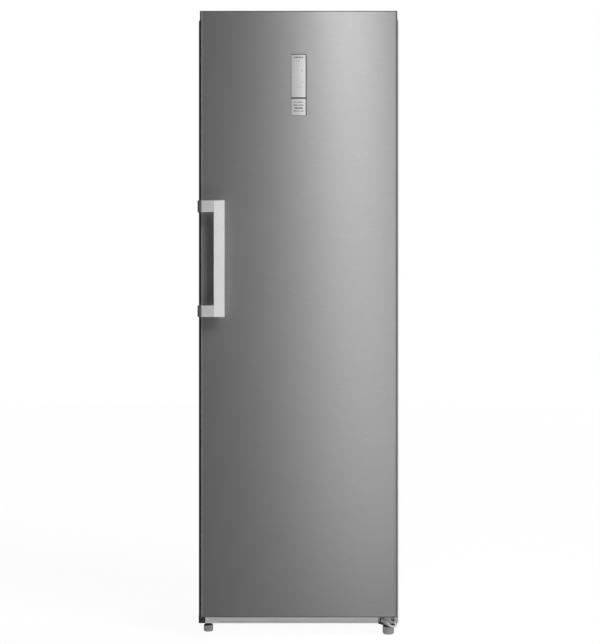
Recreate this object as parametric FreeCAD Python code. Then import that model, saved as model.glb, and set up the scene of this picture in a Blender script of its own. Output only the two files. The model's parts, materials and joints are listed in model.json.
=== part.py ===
import FreeCAD, Part
import math
import os

os.makedirs("parts", exist_ok=True)
Vec = FreeCAD.Vector

# An upright single-door freezer with a brushed steel door hinged on its right.
# Millimetres. X runs to the right as seen from the front, Y to the back and Z up, with the floor at Z = 0.

# ------------------------------------------------------------------ driving sizes: cabinet
CABINET_WIDTH = 595.0
CABINET_DEPTH = 575.0
CABINET_HEIGHT = 1797.0       # from the underside to the top
UNDERSIDE = 37.0              # height of the underside above the floor
SKIN = 0.8                    # painted sheet of the sides and top
SKIN_BEND = 3.0               # outer bend radius along the top edges
FLANGE = 32.0                 # front flange folded inwards, which the door seal grips
BASE_SHEET = 1.2                     # zinc-coated sheet of the base
REAR_INSET = 4.0              # how far the rear panel lies inside the back edge
SIDE_WALL = 57.5              # skin, foam and liner together
TOP_WALL = 65.0
FLOOR_WALL = 68.0
REAR_WALL = 70.0
LINER = 2.0
LINER_CORNER = 18.0
CROSSBAR_TOP = 63.0           # height of the front crossbar above the underside
CROSSBAR = 2.0

# ------------------------------------------------------------------ driving sizes: compressor bay
BAY_DEPTH = 210.0
BAY_HEIGHT = 213.0
STEP_WALL = 60.0              # foam between the bay and the cold space
BAY_COVER = 1.2
COMPRESSOR_RADIUS = 75.0
COMPRESSOR_HEIGHT = 145.0
COMPRESSOR_INSET = 187.5      # axis inside the cabinet's right side
COMPRESSOR_FOOT = 22.5        # radius round the can's foot
COMPRESSOR_DOME = 45.0        # radius round the can's top
SEAM_LIFT = 65.25             # welded seam above the can's foot
SEAM_PROUD = 2.0
SEAM_WIDTH = 5.0
GROMMET_HEIGHT = 12.0
GROMMET_RADIUS = 9.0
GROMMET_WAIST = 6.3
GROMMET_SPACING_X = 150.0
GROMMET_SPACING_Y = 90.0
COMPRESSOR_PLATE = 3.0
PLATE_MARGIN = 13.5           # plate beyond the grommets' axes
STARTER_SIZE = 34.0
STARTER_OVERLAP = 15.0        # how far the box reaches round the can
STARTER_CORNER = 4.0
DRAIN_PAN_LENGTH = 300.0
DRAIN_PAN_WIDTH = 150.0
DRAIN_PAN_RIM = 26.0
DRAIN_PAN_WALL = 2.0
DRAIN_PAN_CORNER = 14.0
DRIER_RADIUS = 9.0
DRIER_LENGTH = 90.0
DRIER_TAPER = 14.0
DRIER_MOUTH = 4.0
DRIER_GAP = 51.0              # between the drier and the starter box
DRIER_HEIGHT = 90.0           # above the base
PIPE_RADIUS = 3.0
PIPE_BEND = 18.0
PIPE_DROP = 10.0              # upper pipe below the drain pan
LIQUID_RUN = 72.0
LIQUID_RISE = 54.0
DISCHARGE_RUN = 45.0
DISCHARGE_OFFSET = 45.0       # behind the compressor's axis
SUCTION_RUN = 45.0
SUCTION_RISE = 54.0
INLET_WIDTH = 32.0
INLET_HEIGHT = 40.0
INLET_DEPTH = 40.0
INLET_INSET = 82.5            # middle of the inlet inside the cabinet's left side
INLET_WALL = 4.0
SOCKET_DEPTH = 20.0
SOCKET_HEIGHT = 18.0
SOCKET_CORNER = 2.0
SOCKET_SHOULDER = 5.0
BLADE_WIDTH = 2.0
BLADE_HEIGHT = 6.0
BLADE_SETBACK = 4.0
BLADE_PITCH = 7.0
BLADE_DROP = 2.0
EARTH_RISE = 3.0

# ------------------------------------------------------------------ driving sizes: cold space
COVER_SPACE = 68.0            # room for the evaporator behind its cover
COVER = 3.0
SHELF_COUNT = 6
SHELF = 4.0
SHELF_ABOVE_STEP = 2.0
SHELF_SIDE_GAP = 1.5
RAIL_WIDTH = 8.0
RAIL_HEIGHT = 8.0
TRIM_DEPTH = 12.0
TRIM_DROP = 2.0
TRIM_RISE = 1.2
TRIM_ROUND = 2.0
DRAWER_LEVELS = 5
DRAWER_SIDE_GAP = 15.0
DRAWER_SETBACK = 40.0         # drawer grips behind the front of the cabinet
DRAWER_LIFT = 1.8             # gap below a drawer, above its shelf's trim
DRAWER_WALL = 2.5
DRAWER_CORNER = 12.0
DRAWER_REAR_GAP = 8.0
BIN_HEADROOM = 16.0
FRONT_HEADROOM = 6.0
FRONT_OVERLAP = 5.0           # how far a drawer front is wider than its bin on each side
FRONT_PANEL = 4.0
GRIP_REACH = 16.0
GRIP_DROP = 14.0
GRIP_WALL = 3.5
GRIP_ROUND = 3.0
GRIP_EDGE = 1.0
COIL_MARGIN = 55.0            # outermost fin inside the cold space's side
COIL_DEPTH = 45.0
COIL_PITCH = 36.0
COIL_PASSES = 8
COIL_RADIUS = 4.0
COIL_LIFT = 40.0              # above the step
FIN_PITCH = 16.0
FIN = 0.6
FAN_RADIUS = 55.0
FAN_HUB = 16.0
FAN_CHORD = 35.2
FAN_LENGTH = 18.0
FAN_BLADES = 5
FAN_BLADE = 1.8
FAN_PITCH_ANGLE = 32.0
FAN_ABOVE_COIL = 90.0
FAN_SHAFT = 1.5
FAN_SHAFT_END = 1.0           # shaft beyond the hub
MOTOR_RADIUS = 24.0
MOTOR_LENGTH = 22.0
MOTOR_GAP = 4.0
MOTOR_FOOT_LENGTH = 76.8
MOTOR_FOOT_HEIGHT = 24.0
MOTOR_FOOT = 3.0
SLOT_LENGTH = 46.0
SLOT_HEIGHT = 6.0
SLOT_ROUND = 2.4
SLOT_DROP = 68.0              # below the shelf above
SLOT_COLUMNS = 5
SLOT_COLUMN_PITCH = 80.0
LAMP_LENGTH = 130.0
LAMP_WIDTH = 38.0
LAMP_HEIGHT = 8.0
LAMP_SETBACK = 70.0

# ------------------------------------------------------------------ driving sizes: door
DOOR_SIDE_GAP = 7.0           # door's side inside the cabinet's side
DOOR_RISE = 16.0              # door's top above the cabinet's top
DOOR_THICKNESS = 58.0
DOOR_LIFT = 30.0              # door's lower edge above the cabinet's underside
DOOR_GAP = 12.0               # between the door's back and the cabinet's front
DOOR_SKIN = 0.8
DOOR_EDGE = 4.0               # bend radius of the steel along the front edges
CAP_LIP_TOP = 2.5
CAP_LIP_BOTTOM = 2.0
CAP_DEPTH = 36.0
CAP_WALL = 3.0
LINER_EDGE = 6.0              # white edge behind the steel, seen from the side
PLUG_SIDE_GAP = 18.0          # between the door plug and the mouth of the cold space
PLUG_DEPTH = 27.0
PLUG_FRAME = 46.0
PLUG_RECESS = 12.0
SEAL_WIDTH = 14.0
SEAL_CLEARANCE = 0.4
SEAL_SIDE_INSET = 8.5         # seal's outer edge inside the door's side
SEAL_TOP_INSET = 30.0
SEAL_BOTTOM_INSET = 13.0
SEAL_BELLOWS = 8.0
SEAL_BASE = 3.6

# ------------------------------------------------------------------ driving sizes: hinges
HINGE_INSET = 8.0             # axis inside the door's right side
HINGE_SETBACK = 25.0          # axis behind the door's face
PIN_RADIUS = 4.0
RUNNING_CLEARANCE = 0.05
BUSH_RADIUS = 7.0
BUSH_LENGTH = 18.0
BUSH_FLANGE = 1.0
BUSH_FLANGE_RADIUS = 9.5
BOSS_WALL = 4.0
TOP_PLATE = 3.0
TOP_NECK = 9.0                # half width of the arm that reaches over the door
TOP_PLATE_LENGTH = 60.0
TOP_PLATE_WIDTH = 62.0
TOP_PLATE_SETBACK = 4.0
TOP_PLATE_CORNER = 6.0
TOP_PLATE_FILLET = 4.0
POCKET_FLOOR_GAP = 2.0
POCKET_LIP = 8.0
POCKET_SIDE_GAP = 2.5
PIN_HEAD_RADIUS = 6.0
PIN_HEAD = 1.5
HINGE_COVER_HEIGHT = 13.0
HINGE_COVER_SLOPE = 7.0
HINGE_COVER_WALL = 2.0
HINGE_COVER_REACH = 26.0      # cover beyond the plate, to the left and to the back
BOTTOM_PLATE = 3.0
BOTTOM_PLATE_WIDTH = 56.0
BOTTOM_PLATE_EDGE = 4.5       # bracket's right edge inside the cabinet's side
BOTTOM_PLATE_DROP = 7.0       # lowest corner below the underside
BOTTOM_PLATE_LIFT = 10.8      # left corner above the underside
BOTTOM_PLATE_CORNER = 4.0
BOTTOM_PLATE_TIP = 3.0
BOTTOM_SLOT_INSET = 6.0
BOTTOM_SLOT_LENGTH = 14.0
BOTTOM_SLOT_HEIGHT = 6.0
BOTTOM_SLOT_LIFT = 13.5
TONGUE = 4.0
TONGUE_GAP = 4.0              # tongue's top below the door
TONGUE_RADIUS = 11.0
SHOULDER_GAP = 0.5
FOOT_PLATE_REACH = 50.0       # lower leg of the bottom bracket, towards the back
FOOT_PLATE_SIDE = 12.0        # lower leg to the left of the foot's stud

# ------------------------------------------------------------------ driving sizes: handle
HANDLE_REACH = 42.0           # front of the handle ahead of the door's face
HANDLE_LENGTH = 340.0
HANDLE_LIFT = 883.0           # lower end above the door's lower edge
BAR_WIDTH = 30.7
BAR_THICKNESS = 14.0
BAR_SETBACK = 43.0            # bar's left edge, from the door's left side
BAR_EDGE = 4.0
ARM_HEIGHT = 33.5
LEG_OUT = 5.0                 # leg outside the door's side
LEG_WALL = 10.0
LEG_CORNER = 9.0
LEG_INNER_CORNER = 4.5
LEG_TIP = 2.0
LEG_DEPTH = 30.0
HANDLE_SCREW_RADIUS = 2.2
HANDLE_SCREW_HEAD = 4.2
HANDLE_SCREW_HEAD_HEIGHT = 2.6
HANDLE_SCREW_LENGTH = 20.0
HANDLE_SCREW_RECESS = 2.8
HANDLE_SCREW_SETBACK = 10.5   # front pair behind the door's face
HANDLE_SCREW_PITCH = 12.0

# ------------------------------------------------------------------ driving sizes: display
DISPLAY_WIDTH = 44.0
DISPLAY_HEIGHT = 180.0
DISPLAY_DROP = 127.0          # upper edge below the door's top
DISPLAY_PROUD = 1.6
DISPLAY_DEPTH = 16.0
DISPLAY_RIM = 1.6
LABEL_HEIGHT = 48.0
DIVIDER = 4.6
PLATE = 1.2
PLATE_RISE = 0.4              # how far each plate stands above the rim

# ------------------------------------------------------------------ driving sizes: feet, rollers, toe rail
LEFT_FOOT_INSET = 24.8        # inside the cabinet's side
LEFT_FOOT_SETBACK = 74.0
LEFT_FOOT_RADIUS = 14.2
LEFT_FOOT_HEIGHT = 20.0
RIGHT_FOOT_INSET = 28.8
RIGHT_FOOT_SETBACK = 25.0
RIGHT_FOOT_RADIUS = 17.2
RIGHT_FOOT_HEIGHT = 24.0
FOOT_NECK = 10.0
FOOT_NECK_HEIGHT = 5.0
FOOT_CHAMFER = 3.0
STUD_RADIUS = 5.0
STUD_TOP = 20.0               # above the underside
STUD_POCKET = 8.0
DOUBLER = 4.0                 # plate welded under the base for the left foot
DOUBLER_SIZE = 44.0
ROLLER_RADIUS = 15.0
ROLLER_WIDTH = 18.0
ROLLER_EDGE = 1.5
ROLLER_INSET = 47.5           # from the cabinet's side
ROLLER_SETBACK = 43.0         # from the back
ROLLER_SIDE_GAP = 0.8
AXLE_RADIUS = 3.0
AXLE_HEAD = 5.0
CHEEK = 2.0
CHEEK_RADIUS = 8.0
CHEEK_ROUND = 6.4
BRACKET_LENGTH = 30.0
TOE_DEPTH = 10.0
TOE_HEIGHT = 27.0
TOE_WALL = 2.0
TOE_ROUND = 2.0
TOE_LEFT = 19.8               # width of the corner cap
TOE_CAP_HEIGHT = 23.0
TOE_CAP_CORNER = 4.0

# ------------------------------------------------------------------ driving sizes: fasteners and rear cover
SCREW_HEAD = 4.5
SCREW_HEAD_HEIGHT = 2.2
SCREW_RADIUS = 2.0
SCREW_LENGTH = 12.0
HOLE_CLEARANCE = 0.1
TOP_SCREW_EDGE = 12.0         # from the plate's side
TOP_SCREW_NEAR = 16.0         # behind the cabinet's front
TOP_SCREW_FAR = 10.0          # from the plate's back edge
BRACKET_SCREW_DROP = 8.0      # below the tongue
BRACKET_SCREW_EDGE = 12.0     # from the bracket's right edge
BRACKET_SCREW_PITCH = 28.0
BAY_SCREW_EDGE = 10.0
BOARD_SCREW_EDGE = 6.0
BOARD_WIDTH = 220.0
BOARD_HEIGHT = 150.0
BOARD_DROP = 90.0             # from the top of the cabinet
BOARD_POCKET = 25.0
BOARD_MARGIN = 8.0
BOARD_COVER = 1.5
BOARD_CORNER = 4.0
BOARD_VENT_ROWS = 4
BOARD_VENT_PITCH = 84.0
VENT_LENGTH = 60.0
VENT_HEIGHT = 5.0
VENT_PITCH = 16.0
BAY_VENT_COLUMNS = 4
BAY_VENT_ROWS = 8
BAY_VENT_COLUMN_PITCH = 90.0

# ------------------------------------------------------------------ places worked out from the sizes
BACK = (CABINET_DEPTH + DOOR_GAP + DOOR_THICKNESS + HANDLE_REACH) / 2
FRONT = BACK - CABINET_DEPTH
DOOR_BACK = FRONT - DOOR_GAP
DOOR_FACE = DOOR_BACK - DOOR_THICKNESS
HANDLE_FRONT = DOOR_FACE - HANDLE_REACH
HALF = CABINET_WIDTH / 2
DOOR_HALF = HALF - DOOR_SIDE_GAP
TOP = UNDERSIDE + CABINET_HEIGHT
BASE = UNDERSIDE + BASE_SHEET
PANEL_BACK = BACK - REAR_INSET
DOOR_BOTTOM = UNDERSIDE + DOOR_LIFT
DOOR_TOP = TOP + DOOR_RISE
CAVITY_HALF = HALF - SIDE_WALL
CAVITY_FLOOR = UNDERSIDE + FLOOR_WALL
CAVITY_TOP = TOP - TOP_WALL
CAVITY_BACK = BACK - REAR_WALL
BAY_FRONT = BACK - BAY_DEPTH
BAY_TOP = UNDERSIDE + BAY_HEIGHT
STEP_TOP = BAY_TOP + STEP_WALL
STEP_FRONT = BAY_FRONT - STEP_WALL
COVER_BACK = CAVITY_BACK - COVER_SPACE
COVER_FRONT = COVER_BACK - COVER
HINGE_X = DOOR_HALF - HINGE_INSET
HINGE_Y = DOOR_FACE + HINGE_SETBACK
DRAWER_GRIP = FRONT + DRAWER_SETBACK
DRAWER_FACE = DRAWER_GRIP + GRIP_REACH
DRAWER_HALF = CAVITY_HALF - DRAWER_SIDE_GAP
FIRST_SHELF = STEP_TOP + SHELF_ABOVE_STEP
SHELF_PITCH = (CAVITY_TOP - FIRST_SHELF) / SHELF_COUNT
POCKET_FLOOR = TOP - POCKET_FLOOR_GAP
TONGUE_TOP = DOOR_BOTTOM - TONGUE_GAP
BAR_LEFT = BAR_SETBACK - DOOR_HALF
HANDLE_BOTTOM = DOOR_BOTTOM + HANDLE_LIFT
HANDLE_TOP = HANDLE_BOTTOM + HANDLE_LENGTH
DISPLAY_TOP = DOOR_TOP - DISPLAY_DROP
DISPLAY_BOTTOM = DISPLAY_TOP - DISPLAY_HEIGHT
ROLLER_X = HALF - ROLLER_INSET
ROLLER_Y = BACK - ROLLER_SETBACK
LEFT_FOOT_X = LEFT_FOOT_INSET - HALF
RIGHT_FOOT_X = HALF - RIGHT_FOOT_INSET
LEFT_FOOT_Y = FRONT + LEFT_FOOT_SETBACK
RIGHT_FOOT_Y = FRONT + RIGHT_FOOT_SETBACK
COMPRESSOR_X = HALF - COMPRESSOR_INSET
COMPRESSOR_Y = BACK - BAY_DEPTH / 2
STARTER_LEFT = COMPRESSOR_X - COMPRESSOR_RADIUS - STARTER_SIZE
INLET_X = INLET_INSET - HALF
COMPRESSOR_BASE = BASE + GROMMET_HEIGHT + COMPRESSOR_PLATE
COMPRESSOR_TOP = COMPRESSOR_BASE + COMPRESSOR_HEIGHT
COIL_SIDE = CAVITY_HALF - COIL_MARGIN
COIL_BOTTOM = STEP_TOP + COIL_LIFT
COIL_TOP = COIL_BOTTOM + COIL_PITCH * COIL_PASSES
FAN_Z = COIL_TOP + FAN_ABOVE_COIL
MOTOR_FRONT = CAVITY_BACK - MOTOR_LENGTH
BOARD_TOP = TOP - BOARD_DROP
BOARD_BOTTOM = BOARD_TOP - BOARD_HEIGHT
PAST = 1.0                    # how far a cutting tool runs past a face


# ------------------------------------------------------------------ helpers
def box(x0, x1, y0, y1, z0, z1):
    """A block between its six faces."""
    return Part.makeBox(x1 - x0, y1 - y0, z1 - z0, Vec(x0, y0, z0))


def rod(radius, start, end):
    """A round bar from one point to another."""
    return Part.makeCylinder(radius, (end - start).Length, start, end - start)


def in_space(plane, u, v, w):
    """A point of a flat outline: u and v in the plane, w along the axis that the plane leaves out."""
    if plane == "XY":
        return Vec(u, v, w)
    if plane == "XZ":
        return Vec(u, w, v)
    return Vec(w, u, v)


def corner_arc(before, corner, after, radius):
    """Start, middle and end of the arc that rounds one corner."""
    back = (before - corner).normalize()
    ahead = (after - corner).normalize()
    half = back.getAngle(ahead) / 2
    reach = radius / math.tan(half)
    inwards = (back + ahead).normalize()
    middle = corner + inwards * (radius / math.sin(half) - radius)
    return corner + back * reach, middle, corner + ahead * reach


def outline(corners, radii, plane, level):
    """A closed flat wire through the corners, each rounded to its own radius, or all to the same one."""
    count = len(corners)
    if not isinstance(radii, (list, tuple)):
        radii = [radii] * count
    points = [in_space(plane, u, v, level) for u, v in corners]
    arcs = [corner_arc(points[i - 1], points[i], points[(i + 1) % count], radii[i]) for i in range(count)]
    edges = []
    for i, (start, middle, end) in enumerate(arcs):
        if radii[i] > 0:
            edges.append(Part.Arc(start, middle, end).toShape())
        following = arcs[(i + 1) % count][0]
        if (following - end).Length > 1e-6:
            edges.append(Part.LineSegment(end, following).toShape())
    return Part.Wire(edges)


def prism(corners, radii, plane, low, high):
    """A rounded outline in a plane, carried from low to high along the axis that the plane leaves out."""
    face = Part.Face(outline(corners, radii, plane, low))
    return face.extrude(in_space(plane, 0, 0, high - low))


def rectangle(u0, u1, v0, v1):
    """Corners of a rectangle: lower left, lower right, upper right, upper left."""
    return [(u0, v0), (u1, v0), (u1, v1), (u0, v1)]


def centred_rectangle(u, v, half_u, half_v):
    """Corners of a rectangle about a middle point."""
    return rectangle(u - half_u, u + half_u, v - half_v, v + half_v)


def turned(corners, radii, x, y):
    """A solid of revolution about the vertical line at x, y, from an outline of radius and height."""
    face = Part.Face(outline(corners, radii, "XZ", 0))
    solid = face.revolve(Vec(0, 0, 0), Vec(0, 0, 1), 360)
    solid.translate(Vec(x, y, 0))
    return solid


def tube(points, bend, radius):
    """A round tube along straight runs joined by tangent arcs of one bend radius."""
    edges = []
    here = points[0]
    for before, corner, after in zip(points, points[1:], points[2:]):
        start, middle, end = corner_arc(before, corner, after, bend)
        if (start - here).Length > 1e-6:
            edges.append(Part.LineSegment(here, start).toShape())
        edges.append(Part.Arc(start, middle, end).toShape())
        here = end
    edges.append(Part.LineSegment(here, points[-1]).toShape())
    section = Part.Wire([Part.Circle(points[0], points[1] - points[0], radius).toShape()])
    return Part.Wire(edges).makePipeShell([section], True, False)


def seal_ring(side, low, high, width, y0, y1):
    """A rectangular ring in the XZ plane, of the given width."""
    outer = box(-side, side, y0, y1, low, high)
    return outer.cut(box(width - side, side - width, y0 - PAST, y1 + PAST, low + width, high - width))


def screw(seat, into, head, head_height, radius, length):
    """A pan-head screw: its head stands on the seat and its shank runs into the material."""
    step = Vec(into).normalize()
    return rod(head, seat - step * head_height, seat).fuse(rod(radius, seat, seat + step * length))


def screw_bores(seats, into, radius, length):
    """Clearance holes for a set of screws, past the seat and past the tip."""
    step = Vec(into).normalize()
    holes = [rod(radius + HOLE_CLEARANCE, s - step * PAST, s + step * (length + PAST)) for s in seats]
    return Part.makeCompound(holes)


def save(name, *solids):
    """Write one node. Pieces that are alike share a file as separate solids."""
    shape = solids[0] if len(solids) == 1 else Part.makeCompound(list(solids))
    shape.exportStep(f"parts/{name}.step")


# ------------------------------------------------------------------ screw places
def top_hinge_seats():
    """Three screws through the top hinge plate."""
    right = HINGE_X + TOP_NECK
    left = right - TOP_PLATE_WIDTH
    near = FRONT + TOP_SCREW_NEAR
    far = FRONT + TOP_PLATE_LENGTH - TOP_SCREW_FAR
    places = ((left + TOP_SCREW_EDGE, near), (left + TOP_SCREW_EDGE, far), (right - TOP_SCREW_EDGE, far))
    return [Vec(x, y, TOP + TOP_PLATE) for x, y in places]


def bottom_hinge_seats():
    """Two screws through the upright leg of the bottom hinge bracket."""
    height = TONGUE_TOP - TONGUE - BRACKET_SCREW_DROP
    right = HALF - BOTTOM_PLATE_EDGE - BRACKET_SCREW_EDGE
    return [Vec(x, FRONT - BOTTOM_PLATE, height) for x in (right, right - BRACKET_SCREW_PITCH)]


def bay_cover_seats():
    """Six screws along the upper and lower edge of the compressor bay's cover."""
    edge = BAY_SCREW_EDGE
    sides = (edge - HALF, 0, HALF - edge)
    return [Vec(x, PANEL_BACK, z) for x in sides for z in (BASE + edge, BAY_TOP - edge)]


def board_cover_seats():
    """Four screws at the corners of the board cover."""
    edge = BOARD_SCREW_EDGE
    side = BOARD_WIDTH / 2 + BOARD_MARGIN - edge
    heights = (BOARD_BOTTOM - BOARD_MARGIN + edge, BOARD_TOP + BOARD_MARGIN - edge)
    return [Vec(x, PANEL_BACK + BOARD_COVER, z) for x in (-side, side) for z in heights]


DOWN = Vec(0, 0, -1)
REARWARD = Vec(0, 1, 0)
FORWARD = Vec(0, -1, 0)
TOP_BORES = screw_bores(top_hinge_seats(), DOWN, SCREW_RADIUS, SCREW_LENGTH)
BOTTOM_BORES = screw_bores(bottom_hinge_seats(), REARWARD, SCREW_RADIUS, SCREW_LENGTH)
BAY_BORES = screw_bores(bay_cover_seats(), FORWARD, SCREW_RADIUS, SCREW_LENGTH)
BOARD_BORES = screw_bores(board_cover_seats(), FORWARD, SCREW_RADIUS, SCREW_LENGTH)


# ------------------------------------------------------------------ cabinet
def cabinet_block(inset, y0, y1, low):
    """The cabinet's outside with its rounded top edges, drawn in by an inset, above a given height."""
    side = HALF - inset
    radii = [0, 0, SKIN_BEND - inset, SKIN_BEND - inset]
    return prism(rectangle(-side, side, low, TOP - inset), radii, "XZ", y0, y1)


def cavity(growth):
    """The cold space, open at the front, or the same space grown outwards for the liner's back."""
    side = CAVITY_HALF + growth
    space = prism(
        rectangle(-side, side, CAVITY_FLOOR - growth, CAVITY_TOP + growth),
        LINER_CORNER + growth, "XZ", FRONT - PAST, CAVITY_BACK + growth,
    )
    step = box(-HALF, HALF, STEP_FRONT + growth, BACK, UNDERSIDE, STEP_TOP - growth)
    return space.cut(step)


def front_slab(thickness, low, high):
    """The area inside the folded front flange, between two heights."""
    return box(FLANGE - HALF, HALF - FLANGE, FRONT, FRONT + thickness, low, high)


def board_pocket(depth, growth):
    """The pocket in the back for the control board."""
    side = BOARD_WIDTH / 2 + growth
    return box(-side, side, PANEL_BACK - depth, BACK, BOARD_BOTTOM - growth, BOARD_TOP + growth)


def make_outer_shell():
    """Folded sheet: both sides and the top, with a front flange turned inwards."""
    outside = cabinet_block(0, FRONT, BACK, UNDERSIDE)
    inside = cabinet_block(SKIN, FRONT + SKIN, BACK + PAST, UNDERSIDE - PAST)
    mouth = front_slab(SKIN + PAST, UNDERSIDE - PAST, TOP - FLANGE)
    mouth.translate(Vec(0, -PAST / 2, 0))
    return outside.cut([inside, mouth, TOP_BORES, BOTTOM_BORES])


def make_rear_panel():
    """One bent sheet: the back, the roof of the compressor bay and the bay's front wall."""
    side = HALF - SKIN
    corners = [
        (PANEL_BACK, TOP - SKIN), (PANEL_BACK, BAY_TOP), (BAY_FRONT, BAY_TOP), (BAY_FRONT, BASE),
        (BAY_FRONT - SKIN, BASE), (BAY_FRONT - SKIN, BAY_TOP + SKIN),
        (PANEL_BACK - SKIN, BAY_TOP + SKIN), (PANEL_BACK - SKIN, TOP - SKIN),
    ]
    panel = prism(corners, 0, "YZ", -side, side)
    panel = panel.common(cabinet_block(SKIN, FRONT, BACK, BASE))
    return panel.cut([board_pocket(BOARD_POCKET, 0), BOARD_BORES])


def upright_hole(radius, x, y, low, high):
    """A tool for a hole along Z, past both ends."""
    return rod(radius, Vec(x, y, low - PAST), Vec(x, y, high + PAST))


def make_base_plate():
    """The steel pan under the cabinet: side walls in the compressor bay and a doubler for the left foot."""
    back = PANEL_BACK - BAY_COVER
    side = HALF - SKIN
    plate = box(-side, side, FRONT + CROSSBAR, back, UNDERSIDE, BASE)
    walls = [box(x, x + BASE_SHEET, BAY_FRONT, back, UNDERSIDE, BAY_TOP) for x in (-side, side - BASE_SHEET)]
    half = DOUBLER_SIZE / 2
    doubler = box(
        LEFT_FOOT_X - half, LEFT_FOOT_X + half,
        LEFT_FOOT_Y - half, LEFT_FOOT_Y + half, UNDERSIDE - DOUBLER, UNDERSIDE,
    )
    doubler = doubler.common(box(-HALF, HALF, FRONT, BACK, 0, UNDERSIDE))
    stud_hole = STUD_RADIUS + RUNNING_CLEARANCE
    tapped = upright_hole(stud_hole, LEFT_FOOT_X, LEFT_FOOT_Y, UNDERSIDE - DOUBLER, BASE)
    wide = upright_hole(STUD_POCKET, RIGHT_FOOT_X, RIGHT_FOOT_Y, UNDERSIDE, BASE)
    return plate.fuse(walls + [doubler]).cut([tapped, wide])


def stud_pocket(x, y):
    """Room in the foam for the upper end of a foot's stud."""
    return upright_hole(STUD_POCKET, x, y, BASE, UNDERSIDE + STUD_TOP + PAST)


def make_insulation_foam():
    """The foam between the skins and the liner, stepped over the compressor bay."""
    block = cabinet_block(SKIN, FRONT + SKIN, PANEL_BACK - SKIN, BASE)
    bay = box(-HALF, HALF, BAY_FRONT - SKIN, BACK, UNDERSIDE - PAST, BAY_TOP + SKIN)
    lip = front_slab(LINER, UNDERSIDE, TOP - FLANGE)
    pockets = [stud_pocket(LEFT_FOOT_X, LEFT_FOOT_Y), stud_pocket(RIGHT_FOOT_X, RIGHT_FOOT_Y)]
    tools = [bay, lip, cavity(LINER), board_pocket(BOARD_POCKET, 0), TOP_BORES, BOTTOM_BORES, BOARD_BORES]
    return block.cut(tools + pockets)


def make_inner_liner():
    """The vacuum-formed inner wall, with a flat lip around its mouth."""
    lip = front_slab(LINER, UNDERSIDE + CROSSBAR_TOP, TOP - FLANGE)
    shell = cavity(LINER).common(box(-HALF, HALF, FRONT, BACK, 0, TOP))
    return shell.fuse(lip).cut(cavity(0)).removeSplitter()


def make_front_crossbar():
    """The steel bar across the front below the cold space, which carries the bottom hinge."""
    return front_slab(CROSSBAR, UNDERSIDE, UNDERSIDE + CROSSBAR_TOP).cut(BOTTOM_BORES)


def make_toe_rail():
    """The light channel across the front below the door."""
    left = TOE_LEFT - HALF
    right = HALF - BOTTOM_PLATE_EDGE - BOTTOM_PLATE_WIDTH
    front = FRONT - TOE_DEPTH
    high = UNDERSIDE + TOE_HEIGHT
    bar = prism(rectangle(front, FRONT, UNDERSIDE, high), [TOE_ROUND, 0, 0, TOE_ROUND], "YZ", left, right)
    wall = TOE_WALL
    return bar.cut(box(left + wall, right - wall, front + wall, FRONT + PAST, UNDERSIDE + wall, high - wall))


def make_toe_corner_cap():
    """The dark corner piece at the lower left."""
    outside = rectangle(-HALF, TOE_LEFT - HALF, FRONT - TOE_DEPTH, FRONT)
    return prism(outside, [TOE_CAP_CORNER, 0, 0, 0], "XY", UNDERSIDE, UNDERSIDE + TOE_CAP_HEIGHT)


def make_bay_cover():
    """The slotted sheet over the back of the compressor bay, cut out for the mains inlet."""
    side = HALF - SKIN - PAST / 2
    sheet = box(-side, side, PANEL_BACK - BAY_COVER, PANEL_BACK, BASE, BAY_TOP - PAST / 2)
    middle = (BASE + BAY_TOP) / 2
    vents = []
    for column in range(BAY_VENT_COLUMNS):
        x = (column - (BAY_VENT_COLUMNS - 1) / 2) * BAY_VENT_COLUMN_PITCH + BAY_VENT_COLUMN_PITCH / 2
        for row in range(BAY_VENT_ROWS):
            z = middle + (row - (BAY_VENT_ROWS - 1) / 2) * VENT_PITCH
            vents.append(vent(x, z))
    gap = HOLE_CLEARANCE
    half = INLET_WIDTH / 2 + gap
    depth = PANEL_BACK - 2 * BAY_COVER
    inlet = box(INLET_X - half, INLET_X + half, depth, BACK, BASE - PAST, BASE + INLET_HEIGHT + gap)
    return sheet.cut(vents + [inlet, BAY_BORES])


def vent(x, z):
    """A round-ended slot through the sheets at the back."""
    half = VENT_LENGTH / 2
    corners = rectangle(x - half, x + half, z - VENT_HEIGHT / 2, z + VENT_HEIGHT / 2)
    return prism(corners, VENT_HEIGHT / 2 - HOLE_CLEARANCE, "XZ", PANEL_BACK - 2 * BAY_COVER, BACK)


def make_board_cover():
    """The slotted plastic cover over the control board."""
    side = BOARD_WIDTH / 2 + BOARD_MARGIN
    low = BOARD_BOTTOM - BOARD_MARGIN
    high = BOARD_TOP + BOARD_MARGIN
    corners = rectangle(-side, side, low, high)
    plate = prism(corners, BOARD_CORNER, "XZ", PANEL_BACK, PANEL_BACK + BOARD_COVER)
    first = BOARD_BOTTOM + VENT_PITCH
    columns = (-BOARD_VENT_PITCH / 2, BOARD_VENT_PITCH / 2)
    vents = [vent(x, first + row * VENT_PITCH) for x in columns for row in range(BOARD_VENT_ROWS)]
    return plate.cut(vents + [BOARD_BORES])


# ------------------------------------------------------------------ compressor bay
def compressor_body():
    """The welded shell, a vertical can with a rounded foot and a domed top, and its seam."""
    r = COMPRESSOR_RADIUS
    corners = [(0, COMPRESSOR_BASE), (r, COMPRESSOR_BASE), (r, COMPRESSOR_TOP), (0, COMPRESSOR_TOP)]
    can = turned(corners, [0, COMPRESSOR_FOOT, COMPRESSOR_DOME, 0], COMPRESSOR_X, COMPRESSOR_Y)
    seam = Vec(COMPRESSOR_X, COMPRESSOR_Y, COMPRESSOR_BASE + SEAM_LIFT)
    return can.fuse(rod(r + SEAM_PROUD, seam, seam + Vec(0, 0, SEAM_WIDTH)))


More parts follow.
